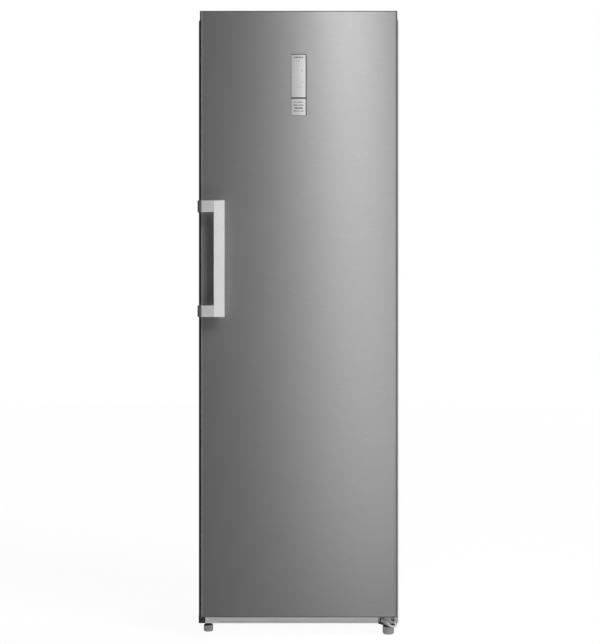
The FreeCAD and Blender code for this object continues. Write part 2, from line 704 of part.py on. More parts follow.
def make_compressor():
    """The can on its mounting plate."""
    half_x = GROMMET_SPACING_X / 2 + PLATE_MARGIN
    half_y = GROMMET_SPACING_Y / 2 + PLATE_MARGIN
    corners = centred_rectangle(COMPRESSOR_X, COMPRESSOR_Y, half_x, half_y)
    plate = prism(corners, GROMMET_RADIUS, "XY", COMPRESSOR_BASE - COMPRESSOR_PLATE, COMPRESSOR_BASE)
    return compressor_body().fuse(plate)


def make_compressor_grommets():
    """Four rubber mounts between the base and the compressor's plate."""
    places = [
        (COMPRESSOR_X + i * GROMMET_SPACING_X / 2, COMPRESSOR_Y + j * GROMMET_SPACING_Y / 2)
        for i in (-1, 1) for j in (-1, 1)
    ]
    low = BASE
    high = BASE + GROMMET_HEIGHT
    waist = (low + high) / 2
    r = GROMMET_RADIUS
    corners = [(0, low), (r, low), (GROMMET_WAIST, waist), (r, high), (0, high)]
    return [turned(corners, 0, x, y) for x, y in places]


def make_starter_box():
    """The starting relay's cover on the side of the compressor."""
    right = COMPRESSOR_X - COMPRESSOR_RADIUS + STARTER_OVERLAP
    low = COMPRESSOR_BASE + STARTER_SIZE
    corners = rectangle(STARTER_LEFT, right, COMPRESSOR_Y - STARTER_SIZE, COMPRESSOR_Y + STARTER_SIZE)
    radii = [STARTER_CORNER, 0, 0, STARTER_CORNER]
    return prism(corners, radii, "XY", low, low + 2 * STARTER_SIZE).cut(compressor_body())


def make_drain_pan():
    """The tray on top of the compressor, where defrost water dries up."""
    wall = DRAIN_PAN_WALL
    half_x = DRAIN_PAN_LENGTH / 2
    half_y = DRAIN_PAN_WIDTH / 2
    low = COMPRESSOR_TOP
    high = low + DRAIN_PAN_RIM
    outer = centred_rectangle(COMPRESSOR_X, COMPRESSOR_Y, half_x, half_y)
    inner = centred_rectangle(COMPRESSOR_X, COMPRESSOR_Y, half_x - wall, half_y - wall)
    outside = prism(outer, DRAIN_PAN_CORNER, "XY", low, high)
    inside = prism(inner, DRAIN_PAN_CORNER - wall, "XY", low + wall, high + PAST)
    return outside.cut(inside)


def drier_ends():
    """The two ends of the filter drier, where its pipes join."""
    right = Vec(STARTER_LEFT - DRIER_GAP, COMPRESSOR_Y, BASE + DRIER_HEIGHT)
    return right - Vec(DRIER_LENGTH, 0, 0), right


def make_filter_drier():
    """A copper can with tapered ends."""
    left, right = drier_ends()
    along = Vec(1, 0, 0)
    taper = along * DRIER_TAPER
    can = rod(DRIER_RADIUS, left + taper, right - taper)
    first = Part.makeCone(DRIER_MOUTH, DRIER_RADIUS, DRIER_TAPER, left, along)
    last = Part.makeCone(DRIER_RADIUS, DRIER_MOUTH, DRIER_TAPER, right - taper, along)
    return can.fuse([first, last])


def make_refrigerant_tubes():
    """The pipes: compressor to drier, drier to the bay's wall, and the return from the wall."""
    left, right = drier_ends()
    top = COMPRESSOR_TOP - PIPE_DROP
    far_left = left - Vec(LIQUID_RUN, 0, 0)
    raised = far_left + Vec(0, 0, LIQUID_RISE)
    liquid = [left, far_left, raised, Vec(raised.x, BAY_FRONT, raised.z)]
    turn = right + Vec(DISCHARGE_RUN, 0, 0)
    out_y = COMPRESSOR_Y + DISCHARGE_OFFSET
    discharge = [right, turn, Vec(turn.x, out_y, turn.z), Vec(COMPRESSOR_X, out_y, turn.z)]
    far_right = COMPRESSOR_X + COMPRESSOR_RADIUS + SUCTION_RUN
    suction = [
        Vec(COMPRESSOR_X, COMPRESSOR_Y, top - SUCTION_RISE), Vec(far_right, COMPRESSOR_Y, top - SUCTION_RISE),
        Vec(far_right, COMPRESSOR_Y, top), Vec(far_right, BAY_FRONT, top),
    ]
    body = compressor_body()
    pipes = [tube(points, PIPE_BEND, PIPE_RADIUS) for points in (liquid, discharge, suction)]
    return [pipes[0], pipes[1].cut(body), pipes[2].cut(body)]


def make_power_inlet():
    """The recessed mains inlet with its three blades, standing on the base behind the bay's cover."""
    half = INLET_WIDTH / 2
    middle = BASE + INLET_HEIGHT / 2
    near = PANEL_BACK - INLET_DEPTH
    floor = PANEL_BACK - SOCKET_DEPTH
    body = box(INLET_X - half, INLET_X + half, near, PANEL_BACK, BASE, BASE + INLET_HEIGHT)
    recess = centred_rectangle(INLET_X, middle, half - INLET_WALL, SOCKET_HEIGHT / 2)
    radii = [SOCKET_CORNER, SOCKET_CORNER, SOCKET_SHOULDER, SOCKET_SHOULDER]
    socket = prism(recess, radii, "XZ", floor, PANEL_BACK + PAST)
    blades = []
    for side in (-1, 0, 1):
        x = INLET_X + side * BLADE_PITCH
        z = middle - BLADE_DROP if side else middle + EARTH_RISE
        blade = centred_rectangle(x, z, BLADE_WIDTH / 2, BLADE_HEIGHT / 2)
        blades.append(prism(blade, 0, "XZ", floor, PANEL_BACK - BLADE_SETBACK))
    return body.cut(socket).fuse(blades)


# ------------------------------------------------------------------ cold space
def shelf_level(index):
    """Underside of a glass shelf."""
    return FIRST_SHELF + index * SHELF_PITCH


def make_shelf_rails():
    """The side rails that carry the shelves, two for each."""
    rails = []
    for index in range(SHELF_COUNT):
        high = shelf_level(index)
        for x0, x1 in ((-CAVITY_HALF, RAIL_WIDTH - CAVITY_HALF), (CAVITY_HALF - RAIL_WIDTH, CAVITY_HALF)):
            low = max(high - RAIL_HEIGHT, STEP_TOP) if index == 0 else high - RAIL_HEIGHT
            rails.append(box(x0, x1, DRAWER_FACE + TRIM_DEPTH + PAST, COVER_FRONT - PAST, low, high))
    return rails


def make_glass_shelves():
    """Six glass plates."""
    side = CAVITY_HALF - SHELF_SIDE_GAP
    plates = []
    for index in range(SHELF_COUNT):
        low = shelf_level(index)
        plates.append(box(-side, side, DRAWER_FACE + TRIM_DEPTH / 2, COVER_FRONT - PAST, low, low + SHELF))
    return plates


def make_shelf_trims():
    """The grooved strips on the front edges of the shelves."""
    side = CAVITY_HALF - SHELF_SIDE_GAP
    strips = []
    for index in range(SHELF_COUNT):
        low = shelf_level(index)
        bar = prism(
            rectangle(DRAWER_FACE, DRAWER_FACE + TRIM_DEPTH, low - TRIM_DROP, low + SHELF + TRIM_RISE),
            [TRIM_ROUND, 0, 0, TRIM_ROUND], "YZ", -side, side,
        )
        edge = DRAWER_FACE + TRIM_DEPTH / 2
        groove = box(-side - PAST, side + PAST, edge, edge + TRIM_DEPTH, low, low + SHELF)
        strips.append(bar.cut(groove))
    return strips


def make_evaporator_cover():
    """The panel in front of the evaporator, with side rims and a row of air slots at each level."""
    side = CAVITY_HALF - PAST
    corner = LINER_CORNER
    low = STEP_TOP
    high = CAVITY_TOP - PAST
    panel = prism(rectangle(-side, side, low, high), [0, 0, corner, corner], "XZ", COVER_FRONT, COVER_BACK)
    rim_top = high - corner
    rims = [box(x, x + COVER, COVER_BACK, CAVITY_BACK, low, rim_top) for x in (-side, side - COVER)]
    slots = []
    for index in range(SHELF_COUNT):
        middle = shelf_level(index) + SHELF_PITCH - SLOT_DROP
        for column in range(SLOT_COLUMNS):
            x = (column - (SLOT_COLUMNS - 1) / 2) * SLOT_COLUMN_PITCH
            for z in (middle - SLOT_HEIGHT, middle + SLOT_HEIGHT):
                corners = rectangle(x - SLOT_LENGTH / 2, x + SLOT_LENGTH / 2, z, z + SLOT_HEIGHT)
                slots.append(prism(corners, SLOT_ROUND, "XZ", COVER_FRONT - PAST, COVER_BACK + PAST))
    return panel.fuse(rims).cut(slots)


def coil_heights():
    """Height of each pass of the evaporator's tube."""
    return [COIL_BOTTOM + (index + 0.5) * COIL_PITCH for index in range(COIL_PASSES)]


def make_evaporator_coil():
    """A tube that runs to and fro through a stack of thin fins."""
    y = CAVITY_BACK - COIL_DEPTH / 2
    side = COIL_SIDE
    reach = side + COIL_PITCH
    points = []
    for index, z in enumerate(coil_heights()):
        ends = (-reach, reach) if index % 2 == 0 else (reach, -reach)
        points += [Vec(ends[0], y, z), Vec(ends[1], y, z)]
    coil = tube(points, COIL_PITCH / 2 - PAST / 10, COIL_RADIUS)
    plate = box(-side, FIN - side, y - COIL_DEPTH / 2, y + COIL_DEPTH / 2, COIL_BOTTOM, COIL_TOP)
    bore = COIL_RADIUS + RUNNING_CLEARANCE
    holes = [rod(bore, Vec(-side - PAST, y, z), Vec(FIN + PAST - side, y, z)) for z in coil_heights()]
    fin = plate.cut(holes)
    fins = []
    for index in range(int((2 * side - FIN) / FIN_PITCH) + 1):
        copy = fin.copy()
        copy.translate(Vec(index * FIN_PITCH, 0, 0))
        fins.append(copy)
    return [coil] + fins


def make_fan_motor():
    """The fan's motor on the back wall, with its shaft pointing forwards."""
    can = rod(MOTOR_RADIUS, Vec(0, CAVITY_BACK, FAN_Z), Vec(0, MOTOR_FRONT, FAN_Z))
    strap = centred_rectangle(0, FAN_Z, MOTOR_FOOT_LENGTH / 2, MOTOR_FOOT_HEIGHT / 2)
    foot = prism(strap, 0, "XZ", CAVITY_BACK - MOTOR_FOOT, CAVITY_BACK)
    tip = MOTOR_FRONT - MOTOR_GAP - FAN_LENGTH - FAN_SHAFT_END
    shaft = rod(FAN_SHAFT, Vec(0, MOTOR_FRONT, FAN_Z), Vec(0, tip, FAN_Z))
    return can.fuse([foot, shaft])


def make_evaporator_fan():
    """A hub with tilted blades, their tips on one circle."""
    near = MOTOR_FRONT - MOTOR_GAP
    far = near - FAN_LENGTH
    middle = (near + far) / 2
    hub = rod(FAN_HUB, Vec(0, near, FAN_Z), Vec(0, far, FAN_Z))
    blades = []
    for index in range(FAN_BLADES):
        chord = FAN_CHORD / 2
        half = FAN_BLADE / 2
        blade = box(-chord, chord, middle - half, middle + half, FAN_Z, FAN_Z + FAN_RADIUS + PAST)
        blade.rotate(Vec(0, middle, FAN_Z), Vec(0, 0, 1), FAN_PITCH_ANGLE)
        blade.rotate(Vec(0, middle, FAN_Z), Vec(0, 1, 0), index * 360 / FAN_BLADES)
        blades.append(blade)
    swept = rod(FAN_RADIUS, Vec(0, near, FAN_Z), Vec(0, far, FAN_Z))
    bore = rod(FAN_SHAFT + RUNNING_CLEARANCE, Vec(0, near + PAST, FAN_Z), Vec(0, far - PAST, FAN_Z))
    return hub.fuse(blades).common(swept).cut(bore)


def make_lamp_lens():
    """The lamp's lens under the ceiling."""
    y0 = FRONT + LAMP_SETBACK
    corners = rectangle(-LAMP_LENGTH / 2, LAMP_LENGTH / 2, y0, y0 + LAMP_WIDTH)
    return prism(corners, LAMP_HEIGHT, "XY", CAVITY_TOP - LAMP_HEIGHT, CAVITY_TOP)


# ------------------------------------------------------------------ drawers, numbered from the top
def drawer_level(number):
    """Lower and upper limit of a drawer's space, and how far back it reaches."""
    level = DRAWER_LEVELS - number
    if level == 0:
        return CAVITY_FLOOR, shelf_level(0), STEP_FRONT - DRAWER_REAR_GAP
    return shelf_level(level - 1) + SHELF, shelf_level(level), COVER_FRONT - DRAWER_REAR_GAP


def drawer_floor(number):
    """Underside of a drawer, just clear of the trim in front of it."""
    return drawer_level(number)[0] + TRIM_RISE + DRAWER_LIFT


def make_drawer_bin(number):
    """An open tub with rounded lower edges."""
    low = drawer_floor(number)
    high = drawer_level(number)[1] - BIN_HEADROOM
    rear = drawer_level(number)[2]
    front = DRAWER_FACE + FRONT_PANEL
    side = DRAWER_HALF
    wall = DRAWER_WALL
    round_ = DRAWER_CORNER
    outside = prism(rectangle(-side, side, low, high), [round_, round_, 0, 0], "XZ", front, rear)
    inner = rectangle(wall - side, side - wall, low + wall, high + PAST)
    inside = prism(inner, [round_ - wall, round_ - wall, 0, 0], "XZ", front + wall, rear - wall)
    return outside.cut(inside)


def make_drawer_front(number):
    """The front panel, hooked forwards along its upper edge as a grip."""
    low = drawer_floor(number)
    high = drawer_level(number)[1] - FRONT_HEADROOM
    back = DRAWER_FACE + FRONT_PANEL
    side = DRAWER_HALF + FRONT_OVERLAP
    corners = [
        (back, low), (back, high), (DRAWER_GRIP, high), (DRAWER_GRIP, high - GRIP_DROP),
        (DRAWER_GRIP + GRIP_WALL, high - GRIP_DROP), (DRAWER_GRIP + GRIP_WALL, high - GRIP_WALL),
        (DRAWER_FACE, high - GRIP_WALL), (DRAWER_FACE, low),
    ]
    radii = [0, GRIP_EDGE, GRIP_ROUND] + [GRIP_EDGE] * 4 + [0]
    return prism(corners, radii, "YZ", -side, side)


# ------------------------------------------------------------------ door
def door_outline(inset, back):
    """The door from above, with its front edges bent to a radius, drawn in by an inset."""
    side = DOOR_HALF - inset
    radius = DOOR_EDGE - inset
    return rectangle(-side, side, DOOR_FACE + inset, back), [radius, radius, 0, 0]


def door_block(inset, back, low, high):
    """The door's outline between two heights."""
    corners, radii = door_outline(inset, back)
    return prism(corners, radii, "XY", low, high)


def hinge_pocket(wall):
    """The pocket in the door's top, open to the back and the right, or its tub with a wall."""
    left = HINGE_X - TOP_NECK - POCKET_SIDE_GAP - wall
    front = DOOR_FACE + POCKET_LIP - wall
    return box(left, DOOR_HALF + PAST, front, DOOR_BACK + PAST, POCKET_FLOOR - wall, DOOR_TOP + PAST)


def bush_boss(radius, low, high):
    """A round boss on the hinge axis."""
    return rod(radius, Vec(HINGE_X, HINGE_Y, low), Vec(HINGE_X, HINGE_Y, high))


def display_block(inset, front, back):
    """The display's outline from the front, drawn in by an inset, between two depths."""
    side = DISPLAY_WIDTH / 2 - inset
    return box(-side, side, front, back, DISPLAY_BOTTOM + inset, DISPLAY_TOP - inset)


def handle_screw_seats():
    """Two screws through each leg of the handle into the door's left side."""
    x = HANDLE_SCREW_RECESS - DOOR_HALF - LEG_OUT
    edge = ARM_HEIGHT / 2
    near = DOOR_FACE + HANDLE_SCREW_SETBACK
    far = near + HANDLE_SCREW_PITCH
    return [Vec(x, y, z) for y in (near, far) for z in (HANDLE_BOTTOM + edge, HANDLE_TOP - edge)]


INWARD = Vec(1, 0, 0)
HANDLE_BORES = screw_bores(handle_screw_seats(), INWARD, HANDLE_SCREW_RADIUS, HANDLE_SCREW_LENGTH)


def make_door_skin():
    """Brushed sheet folded round the front and both sides of the door."""
    back = DOOR_BACK - LINER_EDGE
    low = DOOR_BOTTOM + CAP_LIP_BOTTOM
    high = DOOR_TOP - CAP_LIP_TOP
    outside = door_block(0, back, low, high)
    inside = door_block(DOOR_SKIN, back + PAST, low - PAST, high + PAST)
    window = display_block(0, DOOR_FACE - PAST, DOOR_FACE + DISPLAY_DEPTH)
    return outside.cut([inside, window, hinge_pocket(0), HANDLE_BORES])


def cap(low, high, hollow_low, hollow_high, lip_low, lip_high):
    """An end cap: a plate over the door's whole outline and a hollow body inside the skin."""
    lip = door_block(0, DOOR_BACK, lip_low, lip_high)
    body = door_block(DOOR_SKIN, DOOR_BACK - LINER_EDGE, low, high)
    hollow = door_block(DOOR_SKIN + CAP_WALL, DOOR_BACK - LINER_EDGE - CAP_WALL, hollow_low, hollow_high)
    return body.cut(hollow).fuse(lip)


def make_door_top_cap():
    """The upper cap, with the pocket that the hinge arm swings in and a seat for its bush."""
    lip = DOOR_TOP - CAP_LIP_TOP
    low = DOOR_TOP - CAP_DEPTH
    shell = cap(low, lip, low - PAST, lip - CAP_WALL, lip, DOOR_TOP)
    tub = hinge_pocket(CAP_WALL).common(door_block(DOOR_SKIN, DOOR_BACK, low, lip))
    foot = POCKET_FLOOR - BUSH_LENGTH
    inside = door_block(DOOR_SKIN, DOOR_BACK, low, DOOR_TOP)
    boss = bush_boss(BUSH_RADIUS + BOSS_WALL, low, POCKET_FLOOR).common(inside)
    hole = bush_boss(BUSH_RADIUS, foot, POCKET_FLOOR + PAST)
    return shell.fuse([tub, boss]).cut([hinge_pocket(0), hole])


def make_door_bottom_cap():
    """The lower cap, with a seat for the lower bush."""
    lip = DOOR_BOTTOM + CAP_LIP_BOTTOM
    high = DOOR_BOTTOM + CAP_DEPTH
    shell = cap(lip, high, lip + CAP_WALL, high + PAST, DOOR_BOTTOM, lip)
    inside = door_block(DOOR_SKIN, DOOR_BACK, lip, high)
    boss = bush_boss(BUSH_RADIUS + BOSS_WALL, DOOR_BOTTOM, high).common(inside)
    hole = bush_boss(BUSH_RADIUS, DOOR_BOTTOM - PAST, DOOR_BOTTOM + BUSH_LENGTH)
    return shell.fuse(boss).cut(hole)


def liner_form(wall):
    """The door liner's outer form, or the same form drawn in by a wall for the foam behind it."""
    low = DOOR_BOTTOM + CAP_LIP_BOTTOM + wall
    high = DOOR_TOP - CAP_LIP_TOP - wall
    side = DOOR_HALF - wall
    slab = box(-side, side, DOOR_BACK - LINER_EDGE, DOOR_BACK - wall, low, high)
    plug_side = CAVITY_HALF - PLUG_SIDE_GAP - wall
    plug_low = CAVITY_FLOOR + PLUG_SIDE_GAP + wall
    plug_high = CAVITY_TOP - PLUG_SIDE_GAP - wall
    plug_back = DOOR_BACK + PLUG_DEPTH - wall
    plug_front = DOOR_BACK - LINER_EDGE
    corners = rectangle(-plug_side, plug_side, plug_low, plug_high)
    plug = prism(corners, LINER_CORNER - wall, "XZ", plug_front, plug_back)
    frame = PLUG_FRAME - 2 * wall
    recess = prism(
        rectangle(frame - plug_side, plug_side - frame, plug_low + frame, plug_high - frame),
        LINER_CORNER + wall, "XZ", plug_back - PLUG_RECESS, plug_back + PAST,
    )
    return slab.fuse(plug).cut(recess)


def make_door_liner():
    """The white inner panel with its raised plug and the shallow recess in it."""
    return liner_form(0).cut([liner_form(LINER), hinge_pocket(CAP_WALL)])


def make_door_foam(top_cap, bottom_cap):
    """The foam between the door's skin and its liner."""
    low = DOOR_BOTTOM + CAP_LIP_BOTTOM
    high = DOOR_TOP - CAP_LIP_TOP
    core = door_block(DOOR_SKIN, DOOR_BACK - LINER_EDGE, low, high).fuse(liner_form(LINER))
    radius = BUSH_RADIUS + BOSS_WALL
    spans = ((DOOR_TOP - CAP_DEPTH, DOOR_TOP), (DOOR_BOTTOM, DOOR_BOTTOM + CAP_DEPTH))
    bosses = [bush_boss(radius, *span) for span in spans]
    window = display_block(0, DOOR_FACE, DOOR_FACE + DISPLAY_DEPTH)
    return core.cut([top_cap, bottom_cap, hinge_pocket(CAP_WALL), window, HANDLE_BORES] + bosses)


def make_door_gasket():
    """The magnetic seal: a base strip on the door, a bellows and a flat head."""
    side = DOOR_HALF - SEAL_SIDE_INSET
    low = DOOR_BOTTOM + SEAL_BOTTOM_INSET
    high = DOOR_TOP - SEAL_TOP_INSET
    inset = (SEAL_WIDTH - SEAL_BELLOWS) / 2
    far = FRONT - SEAL_CLEARANCE
    base = seal_ring(side, low, high, SEAL_WIDTH, DOOR_BACK, DOOR_BACK + SEAL_BASE)
    near = DOOR_BACK + SEAL_BASE
    bellows = seal_ring(side - inset, low + inset, high - inset, SEAL_BELLOWS, near, far - SEAL_BASE)
    head = seal_ring(side, low, high, SEAL_WIDTH, far - SEAL_BASE, far)
    return base.fuse([bellows, head])


def make_hinge_bushes():
    """Two flanged bushes, one in each cap."""
    bore = PIN_RADIUS + RUNNING_CLEARANCE
    top = bush_boss(BUSH_RADIUS, POCKET_FLOOR - BUSH_LENGTH, POCKET_FLOOR)
    top = top.fuse(bush_boss(BUSH_FLANGE_RADIUS, POCKET_FLOOR, POCKET_FLOOR + BUSH_FLANGE))
    top = top.common(box(-HALF, DOOR_HALF, DOOR_FACE, DOOR_BACK, 0, TOP))
    bottom = bush_boss(BUSH_RADIUS, DOOR_BOTTOM, DOOR_BOTTOM + BUSH_LENGTH)
    bottom = bottom.fuse(bush_boss(BUSH_FLANGE_RADIUS, DOOR_BOTTOM - BUSH_FLANGE, DOOR_BOTTOM))
    through = bush_boss(bore, 0, TOP)
    return [top.cut(through), bottom.cut(through)]


def arm_section():
    """One handle arm from above: forward of the bar's side, round the corner and along the door's side."""
    outer = -DOOR_HALF - LEG_OUT
    inner = outer + LEG_WALL
    behind = HANDLE_FRONT + BAR_THICKNESS
    corners = [
        (BAR_LEFT, HANDLE_FRONT), (outer, HANDLE_FRONT), (outer, DOOR_FACE + LEG_DEPTH),
        (-DOOR_HALF, DOOR_FACE + LEG_DEPTH), (-DOOR_HALF, DOOR_FACE), (inner, DOOR_FACE),
        (inner, behind), (BAR_LEFT, behind),
    ]
    return corners, [0, LEG_CORNER, LEG_TIP, 0, 0, 0, LEG_INNER_CORNER, 0]


def make_handle_arms():
    """The upper and the lower arm."""
    corners, radii = arm_section()
    recess = HANDLE_SCREW_HEAD + HOLE_CLEARANCE
    heads = [rod(recess, seat, seat - INWARD * LEG_OUT) for seat in handle_screw_seats()]
    arms = []
    for low in (HANDLE_BOTTOM, HANDLE_TOP - ARM_HEIGHT):
        arms.append(prism(corners, radii, "XY", low, low + ARM_HEIGHT).cut(heads + [HANDLE_BORES]))
    return arms


def make_handle_bar():
    """The upright grip, its free edges rounded."""
    corners = rectangle(BAR_LEFT, BAR_LEFT + BAR_WIDTH, HANDLE_FRONT, HANDLE_FRONT + BAR_THICKNESS)
    return prism(corners, [0, BAR_EDGE, BAR_EDGE, 0], "XY", HANDLE_BOTTOM, HANDLE_TOP)


def make_display_housing():
    """The dark tray in the door, with a rim and a bar between its two plates."""
    front = DOOR_FACE - DISPLAY_PROUD
    body = display_block(0, front, DOOR_FACE + DISPLAY_DEPTH)
    seat = front + PLATE - PLATE_RISE
    upper, lower = display_windows(front - PAST, seat)
    return body.cut([upper, lower])


def display_windows(front, back):
    """The openings for the upper panel and for the label plate below it."""
    side = DISPLAY_WIDTH / 2 - DISPLAY_RIM
    split = DISPLAY_BOTTOM + LABEL_HEIGHT
    upper = box(-side, side, front, back, split + DIVIDER, DISPLAY_TOP - DISPLAY_RIM)
    lower = box(-side, side, front, back, DISPLAY_BOTTOM + DISPLAY_RIM, split)
    return upper, lower


# ------------------------------------------------------------------ hinges
def make_top_hinge_bracket():
    """A flat plate on the cabinet's top with an arm that reaches over the door's pocket."""
    right = HINGE_X + TOP_NECK
    left = right - TOP_PLATE_WIDTH
    near = FRONT + TOP_PLATE_SETBACK
    far = FRONT + TOP_PLATE_LENGTH
    corners = [
        (HINGE_X - TOP_NECK, HINGE_Y - TOP_NECK), (right, HINGE_Y - TOP_NECK), (right, far),
        (left, far), (left, near), (HINGE_X - TOP_NECK, near),
    ]
    radii = [TOP_NECK] * 2 + [TOP_PLATE_CORNER] * 3 + [TOP_PLATE_FILLET]
    plate = prism(corners, radii, "XY", TOP, TOP + TOP_PLATE)
    hole = bush_boss(PIN_RADIUS + RUNNING_CLEARANCE, TOP - PAST, TOP + TOP_PLATE + PAST)
    return plate.cut([hole, TOP_BORES])


def make_top_hinge_pin():
    """The upper pin, hung by its head on the arm."""
    seat = TOP + TOP_PLATE
    shank = bush_boss(PIN_RADIUS, POCKET_FLOOR - BUSH_LENGTH + PAST, seat)
    return shank.fuse(bush_boss(PIN_HEAD_RADIUS, seat, seat + PIN_HEAD))


def make_top_hinge_cover():
    """The plastic hood over the hinge plate, its sides sloping in towards the top."""
    right = HALF - SKIN
    left = HINGE_X + TOP_NECK - TOP_PLATE_WIDTH - HINGE_COVER_REACH
    near = FRONT + SKIN
    far = FRONT + TOP_PLATE_LENGTH + HINGE_COVER_REACH
    hood = sloped_block(left, right, near, far, TOP, HINGE_COVER_HEIGHT, HINGE_COVER_SLOPE)
    wall = HINGE_COVER_WALL
    height = HINGE_COVER_HEIGHT + PAST - wall
    hollow = sloped_block(
        left + wall, right - wall, near - PAST, far - wall, TOP - PAST, height, HINGE_COVER_SLOPE,
    )
    return hood.cut(hollow)


def sloped_block(x0, x1, y0, y1, low, height, slope):
    """A block whose left, right and back faces lean inwards by a slope over its height."""
    foot = [Vec(x, y, low) for x, y in rectangle(x0, x1, y0, y1)]
    head = [Vec(x, y, low + height) for x, y in rectangle(x0 + slope, x1 - slope, y0, y1 - slope)]
    loops = [foot[::-1], head]
    loops += [[foot[i - 1], foot[i], head[i], head[i - 1]] for i in range(4)]
    return Part.Solid(Part.Shell([Part.Face(Part.makePolygon(loop + loop[:1])) for loop in loops]))


def make_bottom_hinge_bracket():
    """Three legs: upright on the crossbar, a tongue under the door and a lower leg over the right foot."""
    right = HALF - BOTTOM_PLATE_EDGE
    left = right - BOTTOM_PLATE_WIDTH
    low = UNDERSIDE - BOTTOM_PLATE_DROP
    front = FRONT - BOTTOM_PLATE
    middle = (left + right) / 2
    corners = [
        (left, TONGUE_TOP), (left, UNDERSIDE + BOTTOM_PLATE_LIFT), (middle, low), (right, low),
        (right, TONGUE_TOP),
    ]
    radii = [0, BOTTOM_PLATE_CORNER, BOTTOM_PLATE_CORNER, BOTTOM_PLATE_TIP, 0]
    upright = prism(corners, radii, "XZ", front, FRONT)
    reach = HINGE_Y - TONGUE_RADIUS
    round_ = TONGUE_RADIUS - PAST / 100
    tongue = prism(
        rectangle(HINGE_X - TONGUE_RADIUS, HINGE_X + TONGUE_RADIUS, reach, FRONT),
        [round_, round_, 0, 0], "XY", TONGUE_TOP - TONGUE, TONGUE_TOP,
    )
    leg_left = RIGHT_FOOT_X - FOOT_PLATE_SIDE
    leg = box(leg_left, right, front, FRONT + FOOT_PLATE_REACH, UNDERSIDE - BOTTOM_PLATE, UNDERSIDE)
    tapped = upright_hole(STUD_RADIUS + RUNNING_CLEARANCE, RIGHT_FOOT_X, RIGHT_FOOT_Y, low, UNDERSIDE)
    hole = bush_boss(PIN_RADIUS + RUNNING_CLEARANCE, low, DOOR_BOTTOM)
    slot_left = left + BOTTOM_SLOT_INSET
    slot_low = UNDERSIDE + BOTTOM_SLOT_LIFT
    slot_high = slot_low + BOTTOM_SLOT_HEIGHT
    slot_corners = rectangle(slot_left, slot_left + BOTTOM_SLOT_LENGTH, slot_low, slot_high)
    slot = prism(slot_corners, BOTTOM_SLOT_HEIGHT / 2 - HOLE_CLEARANCE, "XZ", front - PAST, FRONT + PAST)
    return upright.fuse([tongue, leg]).cut([tapped, hole, slot, BOTTOM_BORES])


def make_bottom_hinge_pin():
    """The lower pin, with a shoulder that the door's bush runs on and a head under the tongue."""
    shoulder = bush_boss(BUSH_RADIUS, TONGUE_TOP, DOOR_BOTTOM - BUSH_FLANGE - SHOULDER_GAP)
    shank = bush_boss(PIN_RADIUS, TONGUE_TOP - TONGUE, DOOR_BOTTOM + BUSH_LENGTH - PAST)
    head = bush_boss(PIN_HEAD_RADIUS, TONGUE_TOP - TONGUE - PIN_HEAD, TONGUE_TOP - TONGUE)
    return shank.fuse([shoulder, head])


# ------------------------------------------------------------------ feet and rollers
def make_foot(x, y, radius, height):
    """A levelling foot: a round pad with a chamfered edge, a neck and a stud."""
    chamfer = FOOT_CHAMFER
    neck = height + FOOT_NECK_HEIGHT
    stud_end = UNDERSIDE + STUD_TOP
    corners = [
        (0, 0), (radius - chamfer, 0), (radius, chamfer), (radius, height), (FOOT_NECK, height),
        (FOOT_NECK, neck), (STUD_RADIUS, neck), (STUD_RADIUS, stud_end), (0, stud_end),
    ]
    return turned(corners, 0, x, y)


def make_roller(x):
    """A roller with a small crown edge, running on its axle."""
    half = ROLLER_WIDTH / 2
    r = ROLLER_RADIUS
    bore = AXLE_RADIUS + RUNNING_CLEARANCE
    edge = ROLLER_EDGE
    corners = [
        (bore, -half), (r - edge, -half), (r, edge - half), (r, half - edge), (r - edge, half), (bore, half),
    ]
    wheel = Part.Face(outline(corners, 0, "XZ", 0)).revolve(Vec(0, 0, 0), Vec(0, 0, 1), 360)
    wheel.rotate(Vec(0, 0, 0), Vec(0, 1, 0), 90)
    wheel.translate(Vec(x, ROLLER_Y, ROLLER_RADIUS))
    return wheel


def cheek_places(x):
    """The two cheeks of a roller's bracket, from their inner faces outwards."""
    inner = ROLLER_WIDTH / 2 + ROLLER_SIDE_GAP
    return (x - inner - CHEEK, x - inner), (x + inner, x + inner + CHEEK)


def make_roller_brackets():
    """Two inverted channels under the base, one for each roller."""
    channels = []
    half = BRACKET_LENGTH / 2
    low = ROLLER_RADIUS - CHEEK_RADIUS
    for x in (-ROLLER_X, ROLLER_X):
        sides = cheek_places(x)
        corners = [
            (ROLLER_Y - CHEEK_RADIUS, low), (ROLLER_Y + CHEEK_RADIUS, low),
            (ROLLER_Y + half, UNDERSIDE), (ROLLER_Y - half, UNDERSIDE),
        ]
        cheeks = [prism(corners, [CHEEK_ROUND, CHEEK_ROUND, 0, 0], "YZ", *side) for side in sides]
        web = box(sides[0][0], sides[1][1], ROLLER_Y - half, ROLLER_Y + half, UNDERSIDE - CHEEK, UNDERSIDE)
        ends = [Vec(end, ROLLER_Y, ROLLER_RADIUS) for end in (sides[0][0] - PAST, sides[1][1] + PAST)]
        bore = rod(AXLE_RADIUS + RUNNING_CLEARANCE, *ends)
        channels.append(web.fuse(cheeks).cut(bore))
    return channels


def make_roller_axles():
    """Two axles with a head at each end."""
    axles = []
    for x in (-ROLLER_X, ROLLER_X):
        sides = cheek_places(x)
        left = Vec(sides[0][0], ROLLER_Y, ROLLER_RADIUS)
        right = Vec(sides[1][1], ROLLER_Y, ROLLER_RADIUS)
        heads = [rod(AXLE_HEAD, left - INWARD * CHEEK, left), rod(AXLE_HEAD, right, right + INWARD * CHEEK)]
        axles.append(rod(AXLE_RADIUS, left, right).fuse(heads))
    return axles


